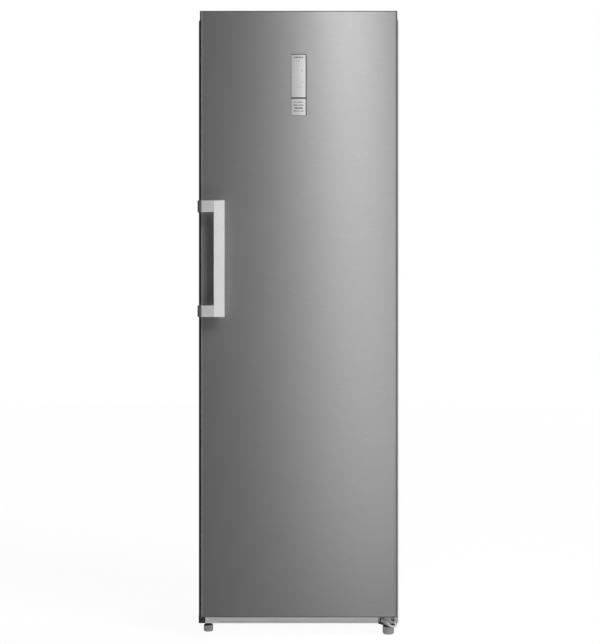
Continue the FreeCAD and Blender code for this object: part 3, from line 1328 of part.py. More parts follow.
# ------------------------------------------------------------------ fasteners
def make_cabinet_screws():
    """All the pan-head screws of the cabinet."""
    sets = (
        (top_hinge_seats(), DOWN), (bottom_hinge_seats(), REARWARD),
        (bay_cover_seats(), FORWARD), (board_cover_seats(), FORWARD),
    )
    return [
        screw(seat, into, SCREW_HEAD, SCREW_HEAD_HEIGHT, SCREW_RADIUS, SCREW_LENGTH)
        for seats, into in sets for seat in seats
    ]


def make_handle_screws():
    """The four screws that hold the handle."""
    return [
        screw(
            seat, INWARD, HANDLE_SCREW_HEAD, HANDLE_SCREW_HEAD_HEIGHT,
            HANDLE_SCREW_RADIUS, HANDLE_SCREW_LENGTH,
        )
        for seat in handle_screw_seats()
    ]


# ------------------------------------------------------------------ write every node
save("outer_shell", make_outer_shell())
save("rear_panel", make_rear_panel())
save("base_plate", make_base_plate())
save("insulation_foam", make_insulation_foam())
save("inner_liner", make_inner_liner())
save("front_crossbar", make_front_crossbar())
save("toe_rail", make_toe_rail())
save("toe_corner_cap", make_toe_corner_cap())
save("bay_cover", make_bay_cover())
save("board_cover", make_board_cover())
save("cabinet_screws", *make_cabinet_screws())

save("compressor", make_compressor())
save("compressor_grommets", *make_compressor_grommets())
save("starter_box", make_starter_box())
save("drain_pan", make_drain_pan())
save("filter_drier", make_filter_drier())
save("refrigerant_tubes", *make_refrigerant_tubes())
save("power_inlet", make_power_inlet())

save("shelf_rails", *make_shelf_rails())
save("glass_shelves", *make_glass_shelves())
save("shelf_trims", *make_shelf_trims())
save("evaporator_cover", make_evaporator_cover())
save("evaporator_coil", *make_evaporator_coil())
save("fan_motor", make_fan_motor())
save("evaporator_fan", make_evaporator_fan())
save("lamp_lens", make_lamp_lens())

for number in range(1, DRAWER_LEVELS + 1):
    save(f"drawer_{number}_bin", make_drawer_bin(number))
    save(f"drawer_{number}_front", make_drawer_front(number))

top_cap = make_door_top_cap()
bottom_cap = make_door_bottom_cap()
save("door_skin", make_door_skin())
save("door_top_cap", top_cap)
save("door_bottom_cap", bottom_cap)
save("door_liner", make_door_liner())
save("door_foam", make_door_foam(top_cap, bottom_cap))
save("door_gasket", make_door_gasket())
save("hinge_bushes", *make_hinge_bushes())
save("handle_arms", *make_handle_arms())
save("handle_bar", make_handle_bar())
save("handle_screws", *make_handle_screws())
save("display_housing", make_display_housing())
display_front = DOOR_FACE - DISPLAY_PROUD - PLATE_RISE
display_panel, display_label_plate = display_windows(display_front, display_front + PLATE)
save("display_panel", display_panel)
save("display_label_plate", display_label_plate)

save("top_hinge_bracket", make_top_hinge_bracket())
save("top_hinge_pin", make_top_hinge_pin())
save("top_hinge_cover", make_top_hinge_cover())
save("bottom_hinge_bracket", make_bottom_hinge_bracket())
save("bottom_hinge_pin", make_bottom_hinge_pin())

save("foot_left", make_foot(LEFT_FOOT_X, LEFT_FOOT_Y, LEFT_FOOT_RADIUS, LEFT_FOOT_HEIGHT))
save("foot_right", make_foot(RIGHT_FOOT_X, RIGHT_FOOT_Y, RIGHT_FOOT_RADIUS, RIGHT_FOOT_HEIGHT))
save("roller_left", make_roller(-ROLLER_X))
save("roller_right", make_roller(ROLLER_X))
save("roller_brackets", *make_roller_brackets())
save("roller_axles", *make_roller_axles())
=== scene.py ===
import json
import math

import bpy
import numpy as np
from bpy.props import FloatProperty, FloatVectorProperty, IntProperty, PointerProperty
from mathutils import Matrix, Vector

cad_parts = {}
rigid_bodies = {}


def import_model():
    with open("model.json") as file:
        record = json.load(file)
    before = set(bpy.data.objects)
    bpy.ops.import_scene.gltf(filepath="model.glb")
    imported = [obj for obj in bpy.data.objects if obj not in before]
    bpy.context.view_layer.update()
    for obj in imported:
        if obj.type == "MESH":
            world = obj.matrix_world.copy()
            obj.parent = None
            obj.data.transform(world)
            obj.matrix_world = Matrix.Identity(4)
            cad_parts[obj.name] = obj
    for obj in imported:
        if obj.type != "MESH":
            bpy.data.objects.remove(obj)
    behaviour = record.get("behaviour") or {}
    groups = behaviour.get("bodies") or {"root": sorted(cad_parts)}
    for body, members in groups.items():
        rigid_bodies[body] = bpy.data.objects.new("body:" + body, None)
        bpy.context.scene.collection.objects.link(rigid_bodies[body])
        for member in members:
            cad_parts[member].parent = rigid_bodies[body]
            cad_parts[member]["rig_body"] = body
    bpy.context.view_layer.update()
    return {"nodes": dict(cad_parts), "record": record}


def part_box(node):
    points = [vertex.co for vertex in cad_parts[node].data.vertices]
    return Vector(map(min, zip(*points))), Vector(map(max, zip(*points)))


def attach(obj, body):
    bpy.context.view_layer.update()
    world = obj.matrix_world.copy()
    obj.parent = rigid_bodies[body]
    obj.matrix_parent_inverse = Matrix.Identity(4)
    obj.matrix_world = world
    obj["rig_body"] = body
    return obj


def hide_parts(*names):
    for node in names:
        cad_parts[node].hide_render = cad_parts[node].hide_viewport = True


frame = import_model()

bl_info = {
    "name": "Upright freezer dressing",
    "version": (1, 0, 0),
    "blender": (4, 5, 0),
    "location": "View3D > Sidebar > Freezer",
    "description": "Finishes and fine pieces of an upright freezer with a brushed steel door",
    "category": "Object",
}

NODES = frame["nodes"]
SLOT_OF = {part["node"]: part["material_slot"] for part in frame["record"]["subparts"]}
BODY_OF = {node: obj["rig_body"] for node, obj in NODES.items()}
DRAWERS = sorted(node[:-4] for node in NODES if node.startswith("drawer_") and node.endswith("_bin"))
MM = 0.001
SAME_POINT = 1e-7                       # points nearer than this, in metres, are one
SHARP_FROM = math.radians(38)           # faces that meet more sharply are shaded as an edge
BEVEL_FROM = math.radians(35)           # and from here on the bevels round it
PICTURE = 644                           # the picture's longer side in pixels
INK = 0.06 * MM                         # how far a printed mark stands off its plate

# --- settings
class StudioSettings(bpy.types.PropertyGroup):
    """Camera, light and floor."""
    distance: FloatProperty(
        name="Distance", description="Camera to the door's face", default=5.0, unit="LENGTH")
    eye_height: FloatProperty(
        name="Eye height", description="Camera above the floor", default=0.941, unit="LENGTH")
    lens: FloatProperty(
        name="Lens", description="Focal length in millimetres", default=95.07, min=1.0)
    shift_right: FloatProperty(
        name="Shift right", description="Picture's middle right of the freezer's, in pixels", default=1.35)
    shift_down: FloatProperty(
        name="Shift down", description="Picture's middle below eye level, in pixels", default=2.0)
    key_radiance: FloatProperty(
        name="Key", description="Radiance of the large soft light at the right", default=0.4, min=0.0)
    strip_radiance: FloatProperty(
        name="Strip", description="Radiance of the tall strip in front of the door", default=7.8, min=0.0)
    halo: FloatProperty(
        name="Halo", description="Brightness of the studio in a ring round the camera", default=2.5,
        min=0.0)
    halo_left: FloatProperty(
        name="Halo, left", description="Share of the ring's brightness at the far left", default=0.04,
        min=0.0)
    side_walls: FloatProperty(
        name="Side walls", description="Brightness of the studio at the left and right", default=0.015,
        min=0.0)
    rear_wall: FloatProperty(
        name="Rear wall", description="Brightness of the studio behind the freezer", default=0.55, min=0.0)
    floor_tone: FloatVectorProperty(
        name="Floor", description="Colour of the floor", default=(0.22, 0.22, 0.22), subtype="COLOR",
        min=0.0, max=1.0)


class DoorSettings(bpy.types.PropertyGroup):
    """Brushed steel and the seal."""
    steel_dark: FloatVectorProperty(
        name="Steel, dark grain", description="Colour between the grains", default=(0.89, 0.89, 0.89),
        subtype="COLOR", min=0.0, max=1.0)
    steel_light: FloatVectorProperty(
        name="Steel, light grain", description="Colour of the grains", default=(0.98, 0.98, 0.98),
        subtype="COLOR", min=0.0, max=1.0)
    steel_roughness: FloatProperty(
        name="Steel roughness", description="Mean roughness of the brushed face", default=0.51,
        min=0.0, max=1.0, subtype="FACTOR")
    face_tone: FloatProperty(
        name="Face tone", description="Share of the grains' tone on the flat face", default=0.68,
        min=0.0, max=1.0, subtype="FACTOR")
    # painted shade on the door's bent edges
    painted_bend_shade: FloatProperty(
        name="Edge tone", description="Share of the grains' tone on the bent edges", default=0.2,
        min=0.0, max=1.0, subtype="FACTOR")
    liner_fillet: FloatProperty(
        name="Liner fillet", description="Rounding of the moulded inner panel", default=7 * MM,
        unit="LENGTH")


class HandleSettings(bpy.types.PropertyGroup):
    """The bar and its two arms."""
    bar_edge: FloatProperty(
        name="Bar edge", description="Bevel along the bar's long edges", default=0.9 * MM, unit="LENGTH")
    arm_edge: FloatProperty(
        name="Arm edge", description="Bevel of the arms", default=0.6 * MM, unit="LENGTH")
    corner: FloatProperty(
        name="Corner", description="Rounding where an arm turns along the door's side",
        default=9 * MM, unit="LENGTH")
    leg: FloatProperty(
        name="Leg", description="Thickness of the leg on the door's side", default=10 * MM, unit="LENGTH")
    leg_out: FloatProperty(
        name="Leg stand-off", description="Leg's outer face outside the door", default=5 * MM,
        unit="LENGTH")


class InsideSettings(bpy.types.PropertyGroup):
    """Drawers, shelves and the moulded liner."""
    drawer_round: FloatProperty(
        name="Drawer rounding", description="Corner radius of the drawer tubs", default=22 * MM,
        unit="LENGTH")
    drawer_wall: FloatProperty(
        name="Drawer wall", description="Wall of the drawer tubs", default=2.5 * MM, unit="LENGTH")
    ribs: IntProperty(
        name="Front ribs", description="Ribs on each drawer's front", default=5, min=1, max=12)


class TrimSettings(bpy.types.PropertyGroup):
    """Screws, feet and small edges."""
    screw_round: FloatProperty(
        name="Screw head", description="Radius of the screws' heads", default=4.5 * MM, unit="LENGTH")
    thread_pitch: FloatProperty(
        name="Thread pitch", description="Rise of the feet's thread in one turn", default=1.5 * MM,
        unit="LENGTH")
    toe_lift: FloatProperty(
        name="Toe lift", description="Toe rail's lower edge above the cabinet's underside",
        default=2.5 * MM, unit="LENGTH")
    flutes: IntProperty(
        name="Flutes", description="Grip flutes round each foot", default=24, min=6, max=60)


# --- surfaces
def rounded(corners, radii, steps=6):
    """A closed outline with arcs at its corners.

    Each arc's centre lies on the corner's bisector, radius / sin(half angle) from the corner. Its points
    are weighted sums of the first and last radius: sin((1-t) a) and sin(t a), over sin(a), where a is the
    angle that the arc turns.
    """
    points = np.asarray(corners, float)
    radius = np.broadcast_to(np.asarray(radii, float), len(points))[:, None]
    back = np.roll(points, 1, 0) - points
    ahead = np.roll(points, -1, 0) - points
    back /= np.linalg.norm(back, axis=1, keepdims=True)
    ahead /= np.linalg.norm(ahead, axis=1, keepdims=True)
    half = np.arccos(np.clip((back * ahead).sum(1, keepdims=True), -1, 1)) / 2
    bisector = (back + ahead) / np.linalg.norm(back + ahead, axis=1, keepdims=True)
    centre = points + bisector * radius / np.sin(half)
    first = points + back * radius / np.tan(half) - centre
    last = points + ahead * radius / np.tan(half) - centre
    turn = (np.pi - 2 * half)[:, :, None]
    t = np.linspace(0, 1, steps)[None, :, None]
    arc = (np.sin((1 - t) * turn) * first[:, None] + np.sin(t * turn) * last[:, None]) / np.sin(turn)
    outline = (centre[:, None] + arc).reshape(-1, 2)
    apart = np.linalg.norm(outline - np.roll(outline, 1, 0), axis=1) > SAME_POINT
    return outline[apart]


def rectangle(u0, u1, v0, v1):
    """Corners of a rectangle, anticlockwise from the lower left."""
    return [(u0, v0), (u1, v0), (u1, v1), (u0, v1)]


def in_space(flat, level, axis):
    """Flat points (u, v) in the plane across an axis, at a level along it; u and v keep the axes' order."""
    flat = np.asarray(flat, float)
    level = np.broadcast_to(level, flat.shape[:-1])
    return np.insert(flat, axis, level, axis=-1)


def grid_faces(rows, columns, close_rows=False, close_columns=True):
    """Quads between neighbouring rows and columns of a grid of points."""
    r = np.arange(rows if close_rows else rows - 1)
    c = np.arange(columns if close_columns else columns - 1)
    r, c = [a.ravel() for a in np.meshgrid(r, c, indexing="ij")]
    r1, c1 = (r + 1) % rows, (c + 1) % columns
    return np.stack([r * columns + c, r * columns + c1, r1 * columns + c1, r1 * columns + c], 1).tolist()


def loft(rings, closed=False):
    """A solid through a stack of rings (m, n, 3): quads between rings, and a flat face at each end.

    A closed stack joins its last ring to its first instead. Faces turn outwards if the signed volume,
    the sum over faces of a . (b x c) / 6, comes out positive; otherwise every face is reversed.
    """
    rings = np.asarray(rings, float)
    m, n, _ = rings.shape
    points = rings.reshape(-1, 3)
    faces = grid_faces(m, n, close_rows=closed)
    if not closed:
        faces += [list(range(n - 1, -1, -1)), list(range((m - 1) * n, m * n))]
    return outward(points, faces)


def outward(points, faces):
    """The same closed solid with every face turned outwards."""
    fans = [(f[0], f[i], f[i + 1]) for f in faces for i in range(1, len(f) - 1)]
    a, b, c = [points[np.array(k)] for k in zip(*fans)]
    volume = (a * np.cross(b, c)).sum()
    return points, faces if volume > 0 else [f[::-1] for f in faces]


def joined(*solids):
    """Several solids as one mesh, in their order."""
    points, faces, start = [], [], 0
    for p, f in solids:
        points.append(p)
        faces += [[i + start for i in face] for face in f]
        start += len(p)
    return np.concatenate(points), faces


def prism(outline, low, high, axis):
    """A flat outline carried along an axis from low to high."""
    return loft([in_space(outline, low, axis), in_space(outline, high, axis)])


def block(low, high, radius=0.0, axis=2, steps=5):
    """A block between two corners, its four edges along one axis rounded."""
    low, high = np.asarray(low, float), np.asarray(high, float)
    u, v = [k for k in range(3) if k != axis]
    corners = rectangle(low[u], high[u], low[v], high[v])
    outline = rounded(corners, radius, steps) if radius else np.array(corners)
    return prism(outline, low[axis], high[axis], axis)


def inset_rings(profile, low, high, radius, axis, steps=8):
    """Rounded rectangles stacked along an axis: each profile point is (inset, level).

    A ring's sides lie at the outer rectangle's sides moved in by the inset, and its corner radius shrinks
    by the same inset, but stays at least a tenth of the outer one.
    """
    rings = []
    for inset, level in profile:
        corners = rectangle(low[0] + inset, high[0] - inset, low[1] + inset, high[1] - inset)
        rings.append(in_space(rounded(corners, max(radius - inset, radius * 0.1), steps), level, axis))
    return np.array(rings)


def quarter(start, end, bulge_first, steps=5):
    """Points of a quarter ellipse between two points of a profile.

    With the bulge first it leaves along the first coordinate: start + (sin a, 1 - cos a) times the span.
    Otherwise it leaves along the second: start + (1 - cos a, sin a) times the span.
    """
    a = np.linspace(0, np.pi / 2, steps)
    s, c = np.sin(a), 1 - np.cos(a)
    weights = np.stack([s, c] if bulge_first else [c, s], 1)
    return np.asarray(start) + weights * (np.asarray(end) - np.asarray(start))


def on_circle(radius, segments):
    """Points (radius cos a, radius sin a) for angles a round the circle; the radius may be a column."""
    a = np.linspace(0, 2 * np.pi, segments, endpoint=False)
    return np.stack([radius * np.cos(a), radius * np.sin(a)], -1)


def lathe(profile, centre, axis, segments, ripple=None, closed=False):
    """A solid of revolution: profile points (radius, level) turned about an axis through the centre.

    Point = centre + radius * (cos a, sin a) across the axis + level along it. A ripple(a, radius, level)
    is added to the radius. A closed profile gives a ring that is open in its middle.
    """
    profile = np.asarray(profile, float)
    radius = np.repeat(profile[:, :1], segments, 1)
    level = np.repeat(profile[:, 1:], segments, 1)
    if ripple is not None:
        radius = radius + ripple(np.linspace(0, 2 * np.pi, segments, endpoint=False), radius, level)
    return loft(in_space(on_circle(radius, segments), level, axis) + np.asarray(centre, float), closed)


def closed_sheet(front, back):
    """Two grids of points (m, n, 3) that share their outline, joined round it."""
    m, n, _ = front.shape
    points = np.concatenate([front.reshape(-1, 3), back.reshape(-1, 3)])
    near = grid_faces(m, n, close_columns=False)
    far = [[i + m * n for i in face[::-1]] for face in near]
    index = np.arange(m * n).reshape(m, n)
    edge = np.concatenate([index[0, :-1], index[:-1, -1], index[-1, :0:-1], index[:0:-1, 0]])
    after = np.roll(edge, -1)
    rim = np.stack([after, edge, edge + m * n, after + m * n], 1).tolist()
    return outward(points, near + far + rim)


def node_box(node):
    """A node's lowest and highest corner as arrays."""
    low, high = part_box(node)
    return np.array(low), np.array(high)


def islands(node):
    """Lowest and highest corner of each separate solid of a node, ordered from the lowest point up.

    Vertices at one place are merged by rounding, then triangles that share a vertex get one label by
    taking the smallest label among their corners until nothing changes.
    """
    mesh = NODES[node].data
    points = np.zeros(len(mesh.vertices) * 3)
    mesh.vertices.foreach_get("co", points)
    points = points.reshape(-1, 3)
    mesh.calc_loop_triangles()
    triangles = np.zeros(len(mesh.loop_triangles) * 3, int)
    mesh.loop_triangles.foreach_get("vertices", triangles)
    _, merged = np.unique(np.round(points, 6), axis=0, return_inverse=True)
    merged = merged.ravel()
    corners = merged[triangles.reshape(-1, 3)]
    label = np.arange(merged.max() + 1)
    while True:
        lowest = label[corners].min(1)
        update = label.copy()
        np.minimum.at(update, corners.ravel(), np.repeat(lowest, 3))
        update = update[update]
        if (update == label).all():
            break
        label = update
    owner = label[merged]
    boxes = [(points[owner == k].min(0), points[owner == k].max(0)) for k in np.unique(owner)]
    return sorted(boxes, key=lambda b: (round(b[0][2], 4), round(b[0][0], 4), round(b[0][1], 4)))


def new_mesh(name, points, faces):
    """A mesh from its points and faces."""
    mesh = bpy.data.meshes.new(name)
    mesh.from_pydata(np.asarray(points).tolist(), [], faces)
    mesh.update()
    return mesh


def placed(name, data):
    """A new object in the scene, for a mesh, light or camera."""
    item = bpy.data.objects.new(name, data)
    bpy.context.scene.collection.objects.link(item)
    return item


def add_piece(name, solid, node, bevel=0.0, replaces=(), slot=None):
    """Puts a solid into the scene on a node's body, with that node's slot and finish or another slot's."""
    mesh = new_mesh(name, *solid)
    mesh.shade_smooth()
    mesh.set_sharp_from_angle(angle=SHARP_FROM)
    piece = placed(name, mesh)
    if bevel:
        edge = piece.modifiers.new("rounded edges", "BEVEL")
        edge.width = bevel
        edge.segments = 3
        edge.limit_method = "ANGLE"
        edge.angle_limit = BEVEL_FROM
    shade = piece.modifiers.new("even shading", "WEIGHTED_NORMAL")
    shade.keep_sharp = True
    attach(piece, BODY_OF[node])
    chosen = slot or SLOT_OF[node]
    mesh.materials.append(finish(chosen))
    if replaces:
        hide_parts(*replaces)


def stand_in(name, solid, node, bevel=0.0):
    """A piece that takes the place of a node's plain solid."""
    add_piece(name, solid, node, bevel, [node])


# --- finishes
def new_finish(name, **sockets):
    """A material with one main shader. Underscores in the keywords stand for spaces in its sockets' names."""
    material = bpy.data.materials.new(name)
    material.use_nodes = True
    shader = material.node_tree.nodes["Principled BSDF"]
    for socket, value in sockets.items():
        shader.inputs[socket.replace("_", " ")].default_value = value
    return material


def add_node(owner, kind, **values):
    """One more node of a material or of the studio's walls, with its properties set."""
    node = owner.node_tree.nodes.new(kind)
    for key, value in values.items():
        setattr(node, key, value)
    return node


def shader_of(material):
    """The main shader."""
    return material.node_tree.nodes["Principled BSDF"]


def wire(owner, source, target):
    """A link from an output to an input."""
    owner.node_tree.links.new(source, target)


def position(owner, space="Object"):
    """The outputs X, Y and Z of a space's coordinates."""
    split = add_node(owner, "ShaderNodeSeparateXYZ")
    wire(owner, add_node(owner, "ShaderNodeTexCoord").outputs[space], split.inputs[0])
    return split.outputs


def between(owner, value, low, high, start=0.3, end=0.7):
    """A value stretched from start..end to low..high, and kept inside it."""
    node = add_node(owner, "ShaderNodeMapRange")
    for socket, number in (("From Min", start), ("From Max", end), ("To Min", low), ("To Max", high)):
        node.inputs[socket].default_value = number
    wire(owner, value, node.inputs["Value"])
    return node.outputs["Result"]


def product(owner, first, second):
    """One output times another."""
    node = add_node(owner, "ShaderNodeMath", operation="MULTIPLY")
    wire(owner, first, node.inputs[0])
    wire(owner, second, node.inputs[1])
    return node.outputs[0]


def mixed(owner, factor, first, second, blend="MIX"):
    """Two colours mixed by a factor; each of the three is a value or another node's output."""
    mix = add_node(owner, "ShaderNodeMix", data_type="RGBA", blend_type=blend)
    colours = [socket for socket in mix.inputs if socket.type == "RGBA"]
    for value, target in ((factor, mix.inputs["Factor"]), (first, colours[0]), (second, colours[1])):
        if isinstance(value, bpy.types.NodeSocket):
            wire(owner, value, target)
        else:
            target.default_value = value
    return [socket for socket in mix.outputs if socket.type == "RGBA"][0]


def tones_along(owner, value, tones):
    """A grey that follows a value from 0 to 1: pairs of (value, tone), in their order."""
    ramp = add_node(owner, "ShaderNodeValToRGB")
    wire(owner, value, ramp.inputs["Fac"])
    stops = ramp.color_ramp.elements
    for k, (place, tone) in enumerate(tones):
        stop = stops[0] if k == 0 else stops[-1] if k == len(tones) - 1 else stops.new(place)
        stop.position = place
        stop.color = opaque(grey(tone))
    return ramp.outputs["Color"]


def grey(tone, warmth=0.0):
    """A neutral colour, slightly warm or cool."""
    return tone * (1 + warmth), tone, tone * (1 - warmth)


def opaque(colour):
    """A colour with its fourth number."""
    return (*colour, 1)


def grain(material, scale, stretch=(1, 1, 1), detail=3.0, kind="noise"):
    """A pattern in object coordinates, stretched along the axes. Gives its value between 0 and 1."""
    place = add_node(material, "ShaderNodeTexCoord")
    mapping = add_node(material, "ShaderNodeMapping")
    mapping.inputs["Scale"].default_value = stretch
    wire(material, place.outputs["Object"], mapping.inputs["Vector"])
    if kind == "noise":
        texture = add_node(material, "ShaderNodeTexNoise")
        texture.inputs["Detail"].default_value = detail
        output = texture.outputs["Fac"]
    else:
        texture = add_node(material, "ShaderNodeTexVoronoi", feature="F1")
        output = texture.outputs["Distance" if kind == "cells" else "Color"]
    texture.inputs["Scale"].default_value = scale
    wire(material, mapping.outputs["Vector"], texture.inputs["Vector"])
    return output


def base_colour(material):
    """What is wired to the shader's colour, and the socket itself."""
    socket = shader_of(material).inputs["Base Color"]
    return socket.links[0].from_socket, socket


def tint(material, value, dark, light, start=0.3, end=0.7):
    """Colours the surface between two tones by a pattern."""
    colour = mixed(material, between(material, value, 0, 1, start, end), opaque(dark), opaque(light))
    wire(material, colour, shader_of(material).inputs["Base Color"])


def roughen(material, value, roughness, spread):
    """Varies the roughness by a pattern, a spread to each side."""
    rough = between(material, value, roughness - spread, roughness + spread)
    wire(material, rough, shader_of(material).inputs["Roughness"])


def relief(material, value, depth, strength):
    """Fine relief by a pattern, its depth in metres."""
    bump = add_node(material, "ShaderNodeBump")
    bump.inputs["Strength"].default_value = strength
    bump.inputs["Distance"].default_value = depth
    wire(material, value, bump.inputs["Height"])
    wire(material, bump.outputs["Normal"], shader_of(material).inputs["Normal"])


def brushed_steel(name, dark, light, roughness, grooves, anisotropy, across=1100.0, along=14.0,
                  metallic=1.0):
    """Metal with fine level grooves and sparse short dashes in them.

    A dash is a third as long as a groove and three times as thick, and shows where its noise is highest.
    """
    material = new_finish(name, Metallic=metallic, Anisotropic=anisotropy, Anisotropic_Rotation=0.25)
    fine = grain(material, 1.0, (along, along, across), detail=4.0)
    dash = grain(material, 1.0, (along * 3, along * 3, across * 0.32), detail=1.0)
    both = add_node(material, "ShaderNodeMath", operation="MULTIPLY_ADD")
    both.inputs[1].default_value = 0.5
    wire(material, between(material, dash, 0.0, 1.0, 0.66, 0.78), both.inputs[0])
    wire(material, fine, both.inputs[2])
    tint(material, both.outputs[0], dark, light, 0.35, 0.85)
    roughen(material, fine, roughness, 0.04)
    relief(material, fine, grooves, 0.35)
    return material


def door_steel(name):
    """The door's brushed sheet, with painted shade on its bent edges, a painted highlight line inside the
    left bend and a lighter painted band inside the right bend.

    The tones are given at distances in millimetres from the sheet's left edge, and then from its right.
    """
    sizes = door()
    material = brushed_steel(
        name, tuple(sizes.steel_dark), tuple(sizes.steel_light), sizes.steel_roughness, 0.03 * MM, 0.48)
    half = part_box("door_skin")[1].x
    face, edge = sizes.face_tone, sizes.painted_bend_shade
    # painted shade on both bends, a painted highlight line 3 to 6.6 mm in from the left edge and a lighter
    # painted band 5 to 6.6 mm in from the right
    left = [(0, edge), (2.6, edge), (3.0, 1.0), (6.6, 1.0), (7.6, face)]
    right = [(7.6, face), (6.6, 1.12 * face), (5.0, 1.12 * face), (4.3, 0.8 * edge), (1.2, edge),
             (0, 0.7 * face)]
    tones = [(reach * MM - half, tone) for reach, tone in left]
    return toned_along_x(material, tones + [(half - reach * MM, tone) for reach, tone in right])


def toned_along_x(material, tones):
    """Multiplies the colour by a tone that changes along object X: pairs of (x, tone), in their order."""
    colour, socket = base_colour(material)
    low, high = tones[0][0], tones[-1][0]
    across = between(material, position(material)["X"], 0, 1, low, high)
    tone = tones_along(material, across, [((x - low) / (high - low), tone) for x, tone in tones])
    wire(material, mixed(material, 1.0, colour, tone, "MULTIPLY"), socket)
    return material


def handle_metal(name):
    """Satin silver: bright on the bar, a step darker on the arms, with painted shade where they turn to the
    side.
    """
    material = brushed_steel(name, grey(0.95), grey(0.99), 0.45, 0.01 * MM, 0.2, 1400.0, 60.0, 0.25)
    side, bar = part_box("handle_arms")[0].x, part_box("handle_bar")
    # painted shade on the arms' first 11.6 mm from the door's side, where they turn to it; the 0.68 further
    # on is the arms' own tone
    arm_tone_and_side_shade = [(0, 0.12), (11.6, 0.18), (13.2, 0.68)]
    on_bar = [(-0.9, 0.70), (-0.6, 0.45), (0.2, 0.9), (1.2, 1.0)]
    tones = [(side + reach * MM, tone) for reach, tone in arm_tone_and_side_shade]
    tones += [(bar[0].x + reach * MM, tone) for reach, tone in on_bar]
    return toned_along_x(material, tones + [(bar[1].x, 1.0)])


def satin_metal(name, dark, light, roughness, metallic=1.0):
    """Plain metal with a fine uneven grain and soft stains."""
    material = new_finish(name, Metallic=metallic)
    fine = grain(material, 900.0, detail=4.0)
    tint(material, grain(material, 14.0, detail=5.0), dark, light)
    roughen(material, fine, roughness, 0.06)
    relief(material, fine, 0.02 * MM, 0.4)
    return material


def spangled_zinc(name, dark, light, roughness):
    """Zinc-coated sheet: crystals of uneven tone, each a few millimetres wide."""
    material = new_finish(name, Metallic=0.92)
    crystals = grain(material, 240.0, kind="crystals")
    tint(material, crystals, dark, light, 0.1, 0.9)
    roughen(material, crystals, roughness, 0.1)
    relief(material, grain(material, 500.0), 0.02 * MM, 0.3)
    return material


def painted_sheet(name, dark, light, roughness):
    """Baked paint with a faint orange peel and slight dust in its tone."""
    material = new_finish(name, Coat_Weight=0.12, Coat_Roughness=0.2)
    tint(material, grain(material, 6.0, detail=6.0), dark, light)
    roughen(material, grain(material, 60.0), roughness, 0.05)
    relief(material, grain(material, 420.0, detail=2.0), 0.03 * MM, 0.35)
    return material


def cabinet_paint(name):
    """The cabinet's paint; its front flange carries painted shade at the left of the door and painted light
    at the right.

    The painted shade and light fade out 1 to 3 mm behind the front and 8 to 12 mm in from the side.
    """
    material = painted_sheet(name, grey(0.312), grey(0.322), 0.42)
    paint, socket = base_colour(material)
    low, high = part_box("outer_shell")
    place = position(material)
    front = between(material, place["Y"], 1, 0, low.y + 1 * MM, low.y + 3 * MM)
    # painted shade on the left flange (the paint times 0.4) and painted light on the right one (mixed towards
    # a 0.62 grey)
    for edge, way, blend, tone in ((low.x, MM, "MULTIPLY", 0.4), (high.x, -MM, "MIX", 0.62)):
        side = between(material, place["X"], 0, 1, edge + 12 * way, edge + 8 * way)
        paint = mixed(material, product(material, side, front), paint, opaque(grey(tone)), blend)
    wire(material, paint, socket)
    return material


def moulded(name, dark, light, roughness, texture=700.0, depth=0.02 * MM, coat=0.0):
    """Moulded plastic with a fine spark-eroded texture and slight flow marks."""
    material = new_finish(name, Coat_Weight=coat)
    tint(material, grain(material, 9.0, (1, 1, 0.4), detail=4.0), dark, light)
    fine = grain(material, texture, detail=2.0)
    roughen(material, fine, roughness, 0.06)
    relief(material, fine, depth, 0.4)
    return material


def clear_plastic(name, dark, light, roughness, clarity):
    """See-through moulded plastic, a little uneven, as if lightly frosted."""
    material = new_finish(name, Transmission_Weight=clarity, IOR=1.49)
    tint(material, grain(material, 5.0), dark, light)
    roughen(material, grain(material, 20.0, detail=4.0), roughness, 0.03)
    relief(material, grain(material, 40.0, detail=1.0), 0.02 * MM, 0.3)
    return material


def open_foam(name, dark, light):
    """Cut foam: small cells with darker pits."""
    material = new_finish(name, Subsurface_Weight=0.05, Roughness=0.95)
    cells = grain(material, 620.0, kind="cells")
    tint(material, cells, dark, light, 0.0, 0.6)
    relief(material, cells, 0.5 * MM, 0.8)
    return material


